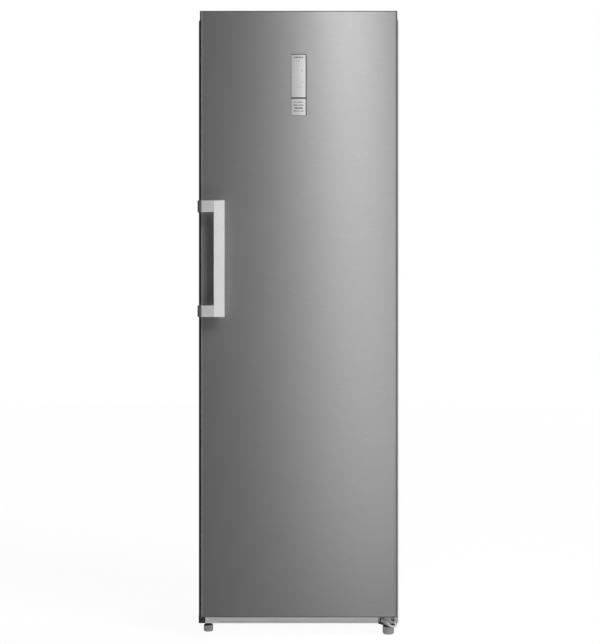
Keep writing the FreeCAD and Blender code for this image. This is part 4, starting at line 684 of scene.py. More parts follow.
# Each slot's maker, and what it gets after the material's name: mostly two tones and the roughness.
FINISHES = {
    "brushed_door_steel": (door_steel,),
    "handle_metal": (handle_metal,),
    "cabinet_paint": (cabinet_paint,),
    "rear_sheet": (painted_sheet, grey(0.53), grey(0.55), 0.5),
    "zinc_sheet": (spangled_zinc, grey(0.48), grey(0.70, -0.01), 0.42),
    "bright_zinc": (satin_metal, grey(0.46), grey(0.58, 0.01), 0.36, 0.35),
    "bright_steel": (satin_metal, grey(0.44), grey(0.54), 0.36),
    "bare_aluminium": (satin_metal, grey(0.72), grey(0.84, -0.01), 0.36),
    "copper": (satin_metal, (0.62, 0.30, 0.18), (0.80, 0.46, 0.30), 0.34),
    "black_enamel": (painted_sheet, grey(0.014), grey(0.028), 0.3),
    "foam": (open_foam, (0.60, 0.50, 0.24), (0.82, 0.74, 0.46)),
    "white_liner": (moulded, grey(0.76, -0.01), grey(0.81, -0.005), 0.24, 240.0, 0.03 * MM, 0.15),
    "white_cover": (moulded, grey(0.70, -0.01), grey(0.76, -0.01), 0.38),
    "trim_plastic": (moulded, grey(0.58, -0.01), grey(0.64, -0.01), 0.3),
    "toe_rail_plastic": (moulded, grey(0.60), grey(0.65), 0.4),
    "dark_plastic": (moulded, grey(0.035), grey(0.05), 0.48),
    "cap_plastic": (moulded, grey(0.07), grey(0.09), 0.42),
    "seal_rubber": (moulded, grey(0.34), grey(0.39), 0.6, 500.0),
    "black_rubber": (moulded, grey(0.012), grey(0.02), 0.75),
    "bush_plastic": (moulded, grey(0.68, 0.02), grey(0.76, 0.02), 0.35),
    "foot_plastic": (moulded, grey(0.30), grey(0.36), 0.42),
    "roller_plastic": (moulded, grey(0.03), grey(0.05), 0.45),
    "fan_plastic": (moulded, grey(0.04), grey(0.06), 0.4),
    "frosted_lens": (clear_plastic, grey(0.90), grey(0.95), 0.45, 0.75),
    "shelf_glass": (clear_plastic, (0.84, 0.94, 0.91), (0.90, 0.97, 0.95), 0.05, 0.95),
    "clear_drawer_plastic": (clear_plastic, (0.92, 0.96, 0.98), (0.96, 0.98, 0.99), 0.14, 0.86),
    "drawer_front_plastic": (clear_plastic, (0.88, 0.93, 0.96), (0.93, 0.96, 0.98), 0.24, 0.35),
    "display_dark": (moulded, grey(0.05), grey(0.07), 0.3),
    "display_silver": (brushed_steel, grey(0.86), grey(0.93), 0.42, 0.01 * MM, 0.3, 1600.0, 40.0, 0.75),
}
READY = {}


def finish(slot):
    """The slot's material, made on its first use."""
    if slot not in READY:
        maker, *values = FINISHES[slot]
        READY[slot] = maker(f"{slot}_finish", *values)
    return READY[slot]


def studio():
    """The studio's settings."""
    return bpy.context.scene.freezer_studio


def door():
    """The door's settings."""
    return bpy.context.scene.freezer_door


# --- stage
class FREEZER_OT_stage(bpy.types.Operator):
    """Pale floor, soft lights, bright studio walls and the camera"""
    bl_idname = "freezer.stage"
    bl_label = "Studio"

    def execute(self, context):
        make_floor()
        make_lights()
        make_world()
        make_camera()
        context.scene.view_settings.view_transform = "Standard"
        context.scene.view_settings.look = "None"
        return {"FINISHED"}


def make_floor():
    """A disc: rings of points at radii that grow with the square of their number."""
    rings, spokes, reach = 24, 48, 14.0
    radius = (np.linspace(0.02, 1, rings) ** 2 * reach)[:, None]
    points = in_space(on_circle(radius, spokes), 0.0, 2).reshape(-1, 3)
    faces = grid_faces(rings, spokes) + [list(range(spokes))]
    mesh = new_mesh("studio_floor", points, faces)
    floor = placed("studio_floor", mesh)
    floor.visible_glossy = False        # the steel mirrors the studio's walls and not the paper
    tone = tuple(studio().floor_tone)
    material = new_finish("floor_paper", Roughness=0.9, Emission_Strength=0.93)
    shader_of(material).inputs["Emission Color"].default_value = opaque(grey(1.0))
    tint(material, grain(material, 3.0), tuple(0.985 * t for t in tone), tone)
    mesh.materials.append(material)


def soft_light(name, centre, aim, width, height, radiance):
    """A rectangular light of an even radiance: its power is radiance times pi times its area."""
    light = bpy.data.lights.new(name, "AREA")
    light.shape = "RECTANGLE"
    light.size = width
    light.size_y = height
    light.energy = radiance * math.pi * width * height
    lamp = placed(name, light)
    lamp.location = centre
    lamp.rotation_euler = (Vector(aim) - Vector(centre)).to_track_quat("-Z", "Y").to_euler()
    lamp.visible_camera = False


def around(azimuth, elevation, distance, aim):
    """A point seen from the aim at an azimuth from the front, to the right, and an elevation."""
    a, e = math.radians(azimuth), math.radians(elevation)
    return aim + distance * Vector((math.sin(a) * math.cos(e), -math.cos(a) * math.cos(e), math.sin(e)))


def make_lights():
    """The key at the right, whose shadow the handle casts, and the tall strip ahead of the door."""
    face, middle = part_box("door_skin")[0].y, 0.95
    aim = Vector((0, face, middle))
    key, strip = studio().key_radiance, studio().strip_radiance
    soft_light("key_light", around(50, 18, 3.0, aim), aim, 1.2, 1.6, key)
    soft_light("strip_light", (0.21, face - 0.8, 1.2), (0.05, face, middle), 0.05, 2.5, strip)


def make_world():
    """Walls: white to the camera, and for the freezer a brightness that follows the angle from the front.

    It is dark within 39 degrees of the camera, has a ring at 41 to 59 degrees, falls off to the side
    walls and rises again behind the freezer. The ramp runs over (1 - cos(angle)) / 2, which is the
    direction's Y from -1 to 1. A factor that rises with its X from -0.3 to 0.6 dims the left.
    """
    world = bpy.data.worlds.new("studio_walls")
    bpy.context.scene.world = world
    world.use_nodes = True
    sizes = studio()
    walls = [
        (39, 0.0), (41, sizes.halo), (59, sizes.halo), (62, sizes.side_walls), (90, sizes.side_walls),
        (125, sizes.rear_wall),
    ]
    way = position(world, "Generated")
    tones = [((1 - math.cos(math.radians(angle))) / 2, tone) for angle, tone in walls]
    ring = tones_along(world, between(world, way["Y"], 0, 1, -1, 1), tones)
    dimmed = product(world, ring, between(world, way["X"], sizes.halo_left, 1, -0.3, 0.6))
    mix = add_node(world, "ShaderNodeMix")
    wire(world, add_node(world, "ShaderNodeLightPath").outputs["Is Camera Ray"], mix.inputs["Factor"])
    wire(world, dimmed, mix.inputs["A"])
    mix.inputs["B"].default_value = 1.0
    walls_light = world.node_tree.nodes["Background"]
    walls_light.inputs["Color"].default_value = opaque(grey(1.0))
    wire(world, mix.outputs["Result"], walls_light.inputs["Strength"])


def make_camera():
    """A level camera straight ahead of the door; the picture is 600 by 644 pixels."""
    sizes = studio()
    data = bpy.data.cameras.new("camera")
    data.lens = sizes.lens
    data.sensor_width = 36.0
    data.shift_x = sizes.shift_right / PICTURE
    data.shift_y = -sizes.shift_down / PICTURE
    data.clip_end = 60
    camera = placed("camera", data)
    camera.location = (0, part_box("door_skin")[0].y - sizes.distance, sizes.eye_height)
    camera.rotation_euler = (math.radians(90), 0, 0)
    bpy.context.scene.camera = camera


# --- finishes of the nodes that are shown as they are
class FREEZER_OT_finishes(bpy.types.Operator):
    """Gives every node of the frame its slot's finish"""
    bl_idname = "freezer.finishes"
    bl_label = "Finishes"

    def execute(self, context):
        for node, obj in NODES.items():
            obj.data.materials.clear()
            obj.data.materials.append(finish(SLOT_OF[node]))
        return {"FINISHED"}


# --- handle
class FREEZER_OT_handle(bpy.types.Operator):
    """The bar, the two arms that wrap the door's side, and their screws"""
    bl_idname = "freezer.handle"
    bl_label = "Handle"

    def execute(self, context):
        handle = context.scene.freezer_handle
        stand_in("handle_bar_soft", block(*node_box("handle_bar")), "handle_bar", handle.bar_edge)
        arms = [arm(low[2], high[2], handle) for low, high in islands("handle_arms")]
        stand_in("handle_arms_soft", joined(*arms), "handle_arms", handle.arm_edge)
        side = node_box("handle_arms")[0][0]
        heads = []
        for low, high in islands("handle_screws"):
            seat = (low + high) / 2
            seat[0] = side + 0.2 * MM
            heads.append(screw_head(seat, 0, -1, 3.6 * MM, 1.2 * MM))
        stand_in("handle_screw_heads", joined(*heads), "handle_screws")
        return {"FINISHED"}


def arm(low_z, high_z, handle):
    """One arm: its outline from above carried upwards, with a large arc where it turns to the door's side."""
    low, high = node_box("handle_arms")
    bar_low, bar_high = node_box("handle_bar")
    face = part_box("door_skin")[0].y
    side = low[0] + handle.leg_out
    inner = low[0] + handle.leg
    corners = [
        (bar_low[0], low[1]), (low[0], low[1]), (low[0], high[1]), (side, high[1]), (side, face),
        (inner, face), (inner, bar_high[1]), (bar_low[0], bar_high[1]),
    ]
    radii = [0, handle.corner, 2 * MM, 0, 0, 0, handle.corner / 2, 0]
    return prism(rounded(corners, radii, 7), low_z, high_z, 2)


# --- screws
def screw_head(seat, axis, way, radius, height):
    """A pan head with a cross recess, standing on its seat along an axis, way +1 or -1.

    Its top over the unit disc of (r, a) is height * (0.75 sqrt(1 - 0.9 r^2) + 0.25), less a pit of 0.7
    heights where the smaller of |x| and |y| is under 0.1 and the larger under 0.46. The pit's walls
    slope out from there, by 0.07 and by 0.1. The rim goes straight down to the seat.
    """
    r = np.linspace(0.04, 1, 16)[:, None]
    flat = on_circle(r, 32)
    across = np.abs(flat)
    width = np.clip((0.17 - across.min(-1)) / 0.07, 0, 1)
    length = np.clip((0.56 - across.max(-1)) / 0.1, 0, 1)
    level = height * (0.75 * np.sqrt(1 - 0.9 * r ** 2) + 0.25 - 0.7 * width * length)
    dome = in_space(radius * flat, way * level, axis)
    rim = in_space(radius * flat[-1], 0.0, axis)[None]
    return loft(np.concatenate([dome, rim]) + seat)


class FREEZER_OT_screws(bpy.types.Operator):
    """Pan-head screws of the hinges and of the covers at the back"""
    bl_idname = "freezer.screws"
    bl_label = "Screws"

    def execute(self, context):
        radius, height = context.scene.freezer_trim.screw_round, 2.2 * MM
        heads = []
        for low, high in islands("cabinet_screws"):
            seat = (low + high) / 2
            axis = int(np.argmax(high - low))
            way = -1 if axis == 1 and seat[1] < 0 else 1
            seat[axis] = high[axis] - height if way > 0 else low[axis] + height
            heads.append(screw_head(seat, axis, way, radius, height))
        stand_in("cabinet_screw_heads", joined(*heads), "cabinet_screws")
        return {"FINISHED"}


# --- display
class FREEZER_OT_display(bpy.types.Operator):
    """The dark tray with a dark strip of painted shadow at its right, the silver panel with its marks, and
    the label plate with its lines
    """
    bl_idname = "freezer.display"
    bl_label = "Display"

    def execute(self, context):
        low, high = node_box("display_housing")
        panel_low, panel_high = node_box("display_panel")
        plate_low, plate_high = node_box("display_label_plate")
        rim = plate_low[0] - low[0]
        seat = panel_high[1]
        # from the back to the front, round its edge, over the rim and in to the plates' seat
        profile = [(0, high[1]), (0, low[1] + 0.5 * MM), (0.4 * MM, low[1]), (rim, low[1]), (rim, seat)]
        tray = loft(inset_rings(profile, low[[0, 2]], high[[0, 2]], 1.2 * MM, 1))
        bar = block((panel_low[0], low[1] + 0.2 * MM, plate_high[2]), (panel_high[0], seat, panel_low[2]))
        stand_in("display_tray", joined(tray, bar), "display_housing")
        # a dark strip along the tray's right side: painted shadow
        seal = block((high[0] - 0.2 * MM, low[1] + 1.5 * MM, low[2] - 0.4 * MM),
                     (high[0] + 1.5 * MM, high[1], high[2] - 6 * MM), 0.5 * MM, 1)
        add_piece("display_seal", seal, "display_housing")
        cover = rim - 0.2 * MM          # the plates reach over most of the tray's rim
        # with the plates over the rim at the left and bottom and the panel's top lowered, the dark rim shows
        # only at the top and right: painted shade
        panel_low[0] -= cover
        panel_high[2] -= 0.9 * MM
        plate_low[[0, 2]] -= cover
        panel, plate, edge = (panel_low, panel_high), (plate_low, plate_high), 0.4 * MM
        stand_in("display_face", domed_plate(*panel), "display_panel", edge)
        stand_in("label_face", domed_plate(*plate), "display_label_plate", edge)
        marks, lines = joined(*display_marks(*panel)), joined(*label_lines(*plate))
        add_piece("display_marks", marks, "display_panel", slot="display_dark")
        add_piece("label_lines", lines, "display_label_plate", slot="display_dark")
        return {"FINISHED"}


def domed_plate(low, high):
    """A plate whose front falls back to its left and right sides: by 0.4 mm * u^2, u from -1 to 1."""
    u, v = np.meshgrid(np.linspace(-1, 1, 25), np.linspace(-1, 1, 3), indexing="ij")
    middle, half = (low + high) / 2, (high - low) / 2
    x, z = middle[0] + half[0] * u, middle[2] + half[2] * v
    front = np.stack([x, low[1] + 0.4 * MM * u ** 2, z], -1)
    return closed_sheet(front, np.stack([x, high[1] + 0 * u, z], -1))


def printed(x0, x1, z0, z1, front):
    """A mark of thin ink on a face at a depth."""
    return block((x0, front - INK, z0), (x1, front + 0.3 * MM, z1), 0.2 * MM, 1, 3)


def display_marks(low, high):
    """Six short bars in a row at the top, a ring below them, two small rings at the right and a line."""
    middle, top, front = (low[0] + high[0]) / 2, high[2], low[1]
    marks = []
    for k in range(6):
        x = middle - 12 * MM + k * 4.4 * MM
        marks.append(printed(x, x + (3.0 + 0.6 * (k % 2)) * MM, top - 9 * MM, top - 6 * MM, front))
    stroke = 0.7
    for side, drop, r in ((1, 17, 2.0), (11, 46, 1.3), (11, 80, 1.3)):
        inside, outside = (r - stroke) * MM, r * MM
        under, over = front + 0.1 * MM, front - INK
        ring = [(outside, under), (outside, over), (inside, over), (inside, under)]
        marks.append(lathe(ring, (middle + side * MM, 0, top - drop * MM), 1, 32, closed=True))
    line = top - 95 * MM
    marks.append(printed(middle - 6 * MM, middle + 15 * MM, line - 0.3 * MM, line, front))
    return marks


def label_lines(low, high):
    """Four plain lines across the label plate, each broken once, the third one heavier."""
    marks = []
    left, right = low[0] + 7 * MM, high[0] - 6 * MM
    first, pitch, gap, step_in = 10, 8.6, 0.7 * MM, 3 * MM
    for k, half in enumerate((0.7, 0.9, 1.6, 0.8)):
        z = high[2] - (first + pitch * k) * MM
        split = left + (right - left) * (0.3 + 0.12 * k)
        indent = step_in * ((k + 1) % 2)
        for start, end in ((left + indent, split - gap), (split + gap, right - indent)):
            marks.append(printed(start, end, z - half * MM, z + half * MM, low[1]))
    return marks


# --- door: inner panel and seal
class FREEZER_OT_inner_panel(bpy.types.Operator):
    """The door's vacuum-formed inner panel, with its plug and the recess in it"""
    bl_idname = "freezer.inner_panel"
    bl_label = "Door inner panel"

    def execute(self, context):
        low, high = node_box("door_liner")
        flange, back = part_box("door_gasket")[0].y, high[1]
        # the corner at the top right is cut out for the top hinge
        notch_left, notch_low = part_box("top_hinge_bracket")[1].x - 23.5 * MM, 1829 * MM
        corners = [
            (low[0], low[2]), (high[0], low[2]), (high[0], notch_low), (notch_left, notch_low),
            (notch_left, high[2]), (low[0], high[2]),
        ]
        slab = prism(rounded(corners, 1.5 * MM, 4), low[1], flange, 1)
        fillet = context.scene.freezer_door.liner_fillet
        gap, frame_width, depth = 18 * MM, 46 * MM, 12 * MM
        profile = np.concatenate([      # the plug's foot, its crown, its frame's inner edge, the recess
            quarter((-fillet, flange - 0.2 * MM), (0, flange + fillet), True),
            quarter((0, back - fillet), (fillet, back), False),
            quarter((frame_width - fillet, back), (frame_width, back - fillet * 0.8), True),
            quarter((frame_width, back - depth + 3 * MM), (frame_width + 8 * MM, back - depth), False),
        ])
        opening = MOUTH[:, [0, 2]]
        plug = loft(inset_rings(profile, opening[0] + gap, opening[1] - gap, 18 * MM, 1, 10))
        stand_in("door_inner_panel", joined(slab, plug), "door_liner")
        return {"FINISHED"}


def mouth():
    """Lowest and highest corner of the cold space's opening.

    Its sides are the shelf rails', its top is the lamp's, and its floor is 3 mm under the lowest drawer.
    """
    rails = node_box("shelf_rails")
    lamp = node_box("lamp_lens")
    tub = node_box("drawer_5_bin")
    return np.array([[rails[0][0], 0, tub[0][2] - 3 * MM], [rails[1][0], 0, lamp[1][2]]])


MOUTH = mouth()


class FREEZER_OT_seal(bpy.types.Operator):
    """The door's magnetic seal: a base, a folded bellows and a flat head"""
    bl_idname = "freezer.seal"
    bl_label = "Door seal"

    def execute(self, context):
        low, high = node_box("door_gasket")
        side = [
            (0.07, 0.0), (0.07, 0.22), (0.21, 0.27), (0.32, 0.33), (0.20, 0.40), (0.20, 0.44), (0.33, 0.50),
            (0.20, 0.56), (0.20, 0.60), (0.32, 0.66), (0.10, 0.70), (0.0, 0.78), (0.0, 0.92), (0.06, 1.0),
        ]                               # shares of the seal's width and depth
        other = [(1 - u, v) for u, v in side[::-1]]
        width, depth = 14 * MM, high[1] - low[1]
        profile = np.array(side + other) * [width, depth] + [0, low[1]]
        rings = inset_rings(profile, low[[0, 2]], high[[0, 2]], 15 * MM, 1, 6)
        stand_in("door_seal", loft(rings, closed=True), "door_gasket")
        return {"FINISHED"}


# --- cold space
class FREEZER_OT_liner_lip(bpy.types.Operator):
    """A rounded bead round the mouth of the cold space"""
    bl_idname = "freezer.liner_lip"
    bl_label = "Liner lip"

    def execute(self, context):
        low, high = MOUTH
        bead = 2.4 * MM
        profile = on_circle(bead, 12) + [-1.2 * MM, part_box("outer_shell")[0].y + 2.6 * MM]
        rings = inset_rings(profile, low[[0, 2]], high[[0, 2]], 18 * MM, 1, 10)
        add_piece("liner_lip", loft(rings, closed=True), "inner_liner")
        return {"FINISHED"}


class FREEZER_OT_drawers(bpy.types.Operator):
    """Five see-through drawers: a tub with a rim, and a hooked front with ribs"""
    bl_idname = "freezer.drawers"
    bl_label = "Drawers"

    def execute(self, context):
        inside = context.scene.freezer_inside
        for name in DRAWERS:
            stand_in(f"{name}_tub", drawer_tub(*node_box(f"{name}_bin"), inside), f"{name}_bin")
            front = drawer_front(*node_box(f"{name}_front"), inside.ribs)
            stand_in(f"{name}_face", front, f"{name}_front", 0.4 * MM)
        return {"FINISHED"}


def drawer_tub(low, high, inside):
    """Rounded rectangles stacked up the outside, over the rim and down the inside to the floor.

    The profile is (inset, level): a quarter arc at the foot, walls that lean out by 5 mm over the height,
    a rim turned outwards, and the same line again one wall further in.
    """
    wall, lean, foot = inside.drawer_wall, 5 * MM, 12 * MM
    reach = 3.6 * MM                    # how far the rim stands out
    bottom, top = low[2], high[2]
    rim = [
        (0.4 * MM, top - 5 * MM), (-3 * MM, top - 4 * MM), (-reach, top - 3 * MM), (-reach, top - 1 * MM),
        (-3 * MM, top), (wall - 0.6 * MM, top), (wall, top - 1 * MM),
    ]
    profile = np.concatenate([
        quarter((lean + foot, bottom), (lean, bottom + foot), False), rim,
        quarter((lean + wall, bottom + wall + foot), (lean + wall + foot, bottom + wall), False),
    ])
    rear_gap = 4 * MM
    return loft(inset_rings(
        profile, low[:2] + [reach, rear_gap], high[:2] - [reach, 0], inside.drawer_round, 2))


def drawer_front(low, high, ribs):
    """The front's section carried across, hooked forwards at its top, with level ribs."""
    back, near = high[1], low[1]
    face = back - 4 * MM
    drop, wall, top = 14 * MM, 3.5 * MM, high[2]
    corners = [
        (back, low[2]), (back, top), (near, top), (near, top - drop), (near + wall, top - drop),
        (near + wall, top - wall), (face, top - wall), (face, low[2]),
    ]
    radii = np.array([1, 1.6, 5, 1.6, 1.6, 1.5, 2.5, 1]) * MM
    pieces = [prism(rounded(corners, radii, 5), low[0], high[0], 0)]
    margin, rise, half = 30 * MM, 2.2 * MM, 3.0 * MM
    for z in np.linspace(low[2] + 28 * MM, top - 45 * MM, ribs):
        pieces.append(rib(low[0] + margin, high[0] - margin, face, z, rise, half))
    return joined(*pieces)


def rib(start, end, face, level, rise, half):
    """A rib across a face: half-round section (-rise sin t, half cos t), smaller at its tapered ends."""
    t = np.linspace(0, np.pi, 9)
    taper = 2 * MM
    section = np.stack([-rise * np.sin(t), half * np.cos(t)], 1)
    along = np.array([start, start + taper, end - taper, end])[:, None]
    scale = np.array([0.35, 1, 1, 0.35])[:, None, None]
    return loft(in_space(section * scale + [face + 0.1 * MM, level], along, 0))


class FREEZER_OT_shelves(bpy.types.Operator):
    """Glass shelves with ground edges, and the lamp's cover"""
    bl_idname = "freezer.shelves"
    bl_label = "Shelves"

    def execute(self, context):
        plates = [block(low, high) for low, high in islands("glass_shelves")]
        stand_in("shelf_glass_plates", joined(*plates), "glass_shelves", 0.7 * MM)
        stand_in("lamp_cover", lamp_cover(*node_box("lamp_lens")), "lamp_lens")
        return {"FINISHED"}


def lamp_cover(low, high):
    """A domed lens with ribs across it: its underside hangs by depth * (1 - u^6) * (1 - v^4), less ribs.

    u and v run from -1 to 1 over the lens. The ribs take up to 12 % off, as a cosine of u.
    """
    u, v = np.meshgrid(np.linspace(-1, 1, 81), np.linspace(-1, 1, 17), indexing="ij")
    middle, half = (low + high) / 2, (high - low) / 2
    ribs = 1 - 0.06 * (1 + np.cos(u * 26 * np.pi))
    hang = (1 - u ** 6) * (1 - v ** 4) * ribs
    x, y = middle[0] + half[0] * u, middle[1] + half[1] * v
    under = np.stack([x, y, high[2] - 2 * half[2] * hang], -1)
    return closed_sheet(under, np.stack([x, y, high[2] + 0.3 * MM + 0 * u], -1))


# --- hinges and toe rail
class FREEZER_OT_hinge_cover(bpy.types.Operator):
    """The rounded hood over the top hinge"""
    bl_idname = "freezer.hinge_cover"
    bl_label = "Top hinge cover"

    def execute(self, context):
        low, high = node_box("top_hinge_cover")
        slope, front_share, corner = 7 * MM, 0.25, 7 * MM
        # shares of the slope, moved in, and of the height, moved up
        levels = [(0, 0), (0.05, 0.12), (0.35, 0.6), (0.5, 0.82), (0.62, 0.93), (0.8, 0.985), (1.3, 1.0)]
        rings = []
        for inset, up in levels:
            i = inset * slope
            corners = rectangle(low[0] + i, high[0] - i, low[1] + front_share * i, high[1] - i)
            level = low[2] + up * (high[2] - low[2])
            rings.append(in_space(rounded(corners, corner, 7), level, 2))
        stand_in("top_hinge_hood", loft(rings), "top_hinge_cover")
        return {"FINISHED"}


class FREEZER_OT_toe_rail(bpy.types.Operator):
    """The light channel under the door with its screw, and its dark corner piece"""
    bl_idname = "freezer.toe_rail"
    bl_label = "Toe rail"

    def execute(self, context):
        lift = [0, 0, context.scene.freezer_trim.toe_lift]
        low, high = node_box("toe_rail")
        low += lift
        near, far = low[1], high[1]
        step, tail_width = 0.8 * MM, 20 * MM
        corners = [
            (near + step, low[2] + 4 * MM), (near, low[2] + 3.4 * MM), (near, low[2]), (far, low[2]),
            (far, high[2]), (near + step, high[2]),
        ]
        radii = np.array([0.3, 0.6, 1.2, 0, 0, 2]) * MM
        rail = prism(rounded(corners, radii, 5), low[0] + tail_width, high[0], 0)
        tail = block((low[0], near - step, low[2]), (low[0] + tail_width, far, high[2]), 1.6 * MM, 0)
        stand_in("toe_rail_soft", joined(rail, tail), "toe_rail", 0.4 * MM)
        seat = np.array([low[0] + 30 * MM, near + step, low[2] + 7 * MM])
        add_piece("toe_rail_screw", screw_head(seat, 1, -1, 3 * MM, 1.4 * MM), "toe_rail",
                  slot="white_cover")
        low, high = node_box("toe_corner_cap")
        low += lift
        ribs = [
            block((low[0] + x * MM, low[1] - 0.5 * MM, low[2] + 4 * MM),
                  (low[0] + (x + 1.4) * MM, low[1] + 1 * MM, high[2] - 4 * MM)) for x in (5, 9, 13)
        ]
        stand_in("toe_corner_soft", joined(block(low, high), *ribs), "toe_corner_cap", 1.2 * MM)
        return {"FINISHED"}


# Outlines at the bottom hinge, in millimetres right of and above its bracket's lower left corner.
LEAF = [(19, 19), (19, 11.5), (33, -1), (45, -5), (50, -5), (49, -0.5), (37, 4), (26, 19)]
CURL = [(46, 11), (52, 11), (55.5, 4), (55, -3), (50.5, -4.6), (50, 2), (49, 6)]
TAB = [(0.6, 13.5), (4.4, 13.5), (4.4, 20.5), (0.6, 20.5)]
WEDGE = [(0, 12), (6, 11), (18.4, 7), (18.4, 1.5), (12, 3), (0, 6)]
SLIT = [(5.4, 10), (8.6, 9.4), (8.6, 22), (5.4, 22)]
# a dark sheet over a hole in the bracket: painted shade of its inside
HOLE_SHADE = [(35.5, 6.5), (46.5, 7), (47, 2), (42, 1.4), (38.5, 3)]


class FREEZER_OT_hinge_leaf(bpy.types.Operator):
    """The bright pressed leaves across the bottom hinge's bracket, its screw, its dark plugs, and a dark
    sheet of painted shade over a hole
    """
    bl_idname = "freezer.hinge_leaf"
    bl_label = "Bottom hinge leaf"

    def execute(self, context):
        bracket = "bottom_hinge_bracket"
        low = node_box(bracket)[0]
        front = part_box("outer_shell")[0].y - 3 * MM

        def sheet(outline, radius, thick, tilt=(0, 0)):
            """An outline as a thin sheet. A tilt adds to its depth by the way right and the way up."""
            place = np.array(outline, float) * MM + low[[0, 2]]
            points, faces = prism(rounded(place, radius * MM, 5), front - thick * MM, front + 0.2 * MM, 1)
            depth = (points[:, [0, 2]] - place.mean(0)) @ np.array(tilt, float)
            points[:, 1] += depth - abs(depth).max()
            return points, faces

        leaves = [
            sheet(LEAF, 1.6, 1.2, (0.26, 0.33)), sheet(CURL, 1.2, 1.6, (0.4, 0.1)), sheet(TAB, 0.6, 1.4),
        ]
        add_piece("bottom_hinge_leaf", joined(*leaves), bracket, 0.6 * MM, slot="bright_steel")
        # the third sheet is painted shade in a hole of the bracket
        plugs = [sheet(WEDGE, 1.0, 1.6), sheet(SLIT, 0.8, 0.8), sheet(HOLE_SHADE, 1.4, 1.0)]
        thick, washer, hole = 1.2 * MM, 5.4 * MM, 0.2 * MM
        seat = np.array([low[0] + 43.9 * MM, front, low[2] + 19.5 * MM])
        profile = [(hole, -thick), (washer, -thick), (washer, 0.2 * MM), (hole, 0.2 * MM)]
        plugs.append(lathe(profile, seat, 1, 24))
        add_piece("bottom_hinge_plugs", joined(*plugs), bracket, slot="dark_plastic")
        head = screw_head(seat + [4.1 * MM, -thick, 0], 1, -1, 3.6 * MM, 1.8 * MM)
        add_piece("bottom_hinge_screw", head, bracket, slot="bright_steel")
        return {"FINISHED"}


# --- feet and rollers
class FREEZER_OT_feet(bpy.types.Operator):
    """Two levelling feet: a fluted pad, a neck with a nut whose dark flange over the pad's top is painted
    shade, and a threaded stud
    """
    bl_idname = "freezer.feet"
    bl_label = "Feet"

    def execute(self, context):
        trim = context.scene.freezer_trim
        for name, drum, rounding, nut in (
            ("foot_left", 20 * MM, 5 * MM, 10.6 * MM), ("foot_right", 24 * MM, 7 * MM, 16.6 * MM),
        ):
            low, high = node_box(name)
            radius = (high[0] - low[0]) / 2
            centre = np.array([(low[0] + high[0]) / 2, (low[1] + high[1]) / 2, 0])
            stand_in(f"{name}_fluted", levelling_foot(centre, radius, drum, high[2], rounding, trim), name)
            # the nut's flange reaches to 0.8 mm inside the pad's edge: a dark disc over the pad's top,
            # painted shade
            hole, flange = 0.2 * MM, radius - 0.8 * MM
            profile = [
                (hole, 0.1 * MM), (flange, 0.1 * MM), (flange, 1 * MM), (nut, 1.6 * MM), (nut, 7 * MM),
                (nut - 0.8 * MM, 8 * MM), (hole, 8 * MM),
            ]
            add_piece(f"{name}_nut", lathe(profile, centre + [0, 0, drum], 2, 48), name, slot="dark_plastic")
        return {"FINISHED"}


def levelling_foot(centre, radius, drum, top, rounding, trim):
    """A lathe: pad with rounded lower edge, flutes in its side, a neck, and a stud with a thread.

    Flutes take 0.55 mm * max(0, cos(n a)) off the radius at the drum's side. The thread adds
    0.45 mm * cos(2 pi level / pitch - a) to the stud's radius.
    """
    flute_depth, thread_depth = 0.55 * MM, 0.45 * MM
    neck, collar, stud = drum + 5 * MM, 10 * MM, 4.6 * MM
    levels = np.arange(neck, top, trim.thread_pitch / 8)
    profile = np.concatenate([
        [(0.3 * MM, 0)], quarter((radius - rounding, 0), (radius, rounding), True, 6),
        quarter((radius, drum - 1.6 * MM), (radius - 1.6 * MM, drum), False),
        [(collar, drum), (collar, drum + 4.4 * MM), (9.4 * MM, neck)],
        np.stack([np.full(len(levels), stud), levels], 1), [(3.6 * MM, top), (0.2 * MM, top)],
    ])

    def ripple(angle, r, level):
        """Flutes where the profile is on the pad's side, the thread where it is on the stud's."""
        side = (level > rounding * 0.7) & (level < drum - 1 * MM) & (r > radius - 0.5 * MM)
        flute = -flute_depth * np.maximum(0, np.cos(trim.flutes * angle)) * side
        screw = (level > neck) & (level < top - 1 * MM) & (r > 4 * MM)
        return flute + thread_depth * np.cos(2 * np.pi * level / trim.thread_pitch - angle) * screw

    return lathe(profile, centre, 2, 144, ripple)


class FREEZER_OT_rollers(bpy.types.Operator):
    """Two rollers with a groove round the tread"""
    bl_idname = "freezer.rollers"
    bl_label = "Rollers"

    def execute(self, context):
        tread = 15.0                    # the section gives radii up to this, and shares of the half width
        half_section = [
            (3.1, -1.0), (6.0, -1.0), (6.6, -0.86), (10.5, -0.8), (12.0, -1.0), (13.8, -1.0),
            (14.6, -0.9), (tread, -0.75), (tread, -0.16), (14.5, -0.1),
        ]
        section = half_section + [(r, -u) for r, u in half_section[::-1]]
        for name in ("roller_left", "roller_right"):
            low, high = node_box(name)
            half = (high - low) / 2
            profile = np.array(section) * [half[2] / tread, half[0]]
            stand_in(f"{name}_grooved", lathe(profile, (low + high) / 2, 0, 48, closed=True), name)
        return {"FINISHED"}


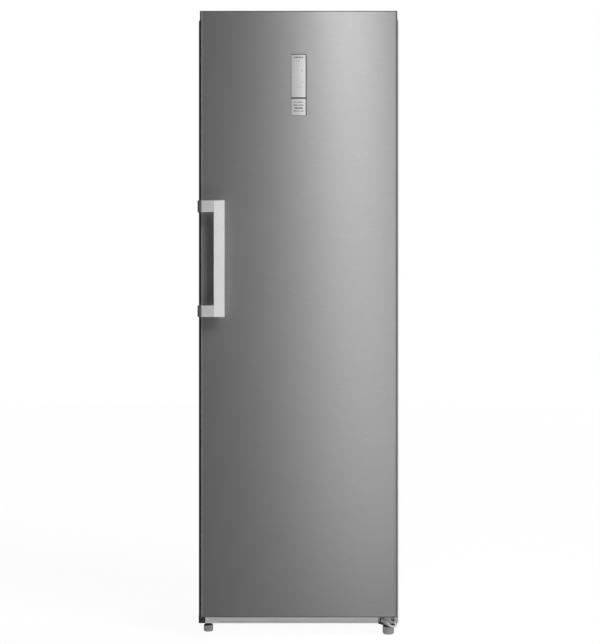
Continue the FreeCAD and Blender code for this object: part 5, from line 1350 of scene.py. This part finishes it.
# --- back
class FREEZER_OT_back(bpy.types.Operator):
    """Pressed beads across the rear sheet"""
    bl_idname = "freezer.back"
    bl_label = "Back"

    def execute(self, context):
        low, high = node_box("rear_panel")
        back, margin, half = high[1], 50 * MM, 9 * MM
        heights = (0.42, 0.70, 0.98, 1.26)
        profile = quarter((0, back - 0.2 * MM), (7 * MM, back + 1.6 * MM), False, 6)
        beads = [
            loft(inset_rings(profile, (low[0] + margin, z - half), (high[0] - margin, z + half), 8.9 * MM, 1))
            for z in heights
        ]
        add_piece("rear_beads", joined(*beads), "rear_panel")
        return {"FINISHED"}


# --- sidebar and start
SETTINGS = {
    "freezer_studio": StudioSettings,
    "freezer_door": DoorSettings,
    "freezer_handle": HandleSettings,
    "freezer_inside": InsideSettings,
    "freezer_trim": TrimSettings,
}
STEPS = [
    FREEZER_OT_stage, FREEZER_OT_finishes, FREEZER_OT_handle, FREEZER_OT_display, FREEZER_OT_screws,
    FREEZER_OT_inner_panel, FREEZER_OT_seal, FREEZER_OT_liner_lip, FREEZER_OT_drawers,
    FREEZER_OT_shelves, FREEZER_OT_hinge_cover, FREEZER_OT_toe_rail, FREEZER_OT_hinge_leaf,
    FREEZER_OT_feet, FREEZER_OT_rollers, FREEZER_OT_back,
]


class FREEZER_PT_sidebar(bpy.types.Panel):
    """Lists every step and every setting"""
    bl_idname = "FREEZER_PT_sidebar"
    bl_label = "Freezer"
    bl_space_type = "VIEW_3D"
    bl_region_type = "UI"
    bl_category = "Freezer"

    def draw(self, context):
        for step in STEPS:
            self.layout.operator(step.bl_idname, text=step.bl_label)
        for group in SETTINGS:
            box = self.layout.box()
            settings = getattr(context.scene, group)
            for key in settings.__annotations__:
                box.prop(settings, key)


CLASSES = [*SETTINGS.values(), *STEPS, FREEZER_PT_sidebar]


def register():
    for cls in CLASSES:
        bpy.utils.register_class(cls)
    for name, group in SETTINGS.items():
        setattr(bpy.types.Scene, name, PointerProperty(type=group))


def unregister():
    for name in SETTINGS:
        delattr(bpy.types.Scene, name)
    for cls in reversed(CLASSES):
        bpy.utils.unregister_class(cls)


def main():
    """Registers the add-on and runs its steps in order."""
    register()
    for step in STEPS:
        getattr(bpy.ops.freezer, step.bl_idname.removeprefix("freezer."))()


if __name__ == "__main__":
    main()
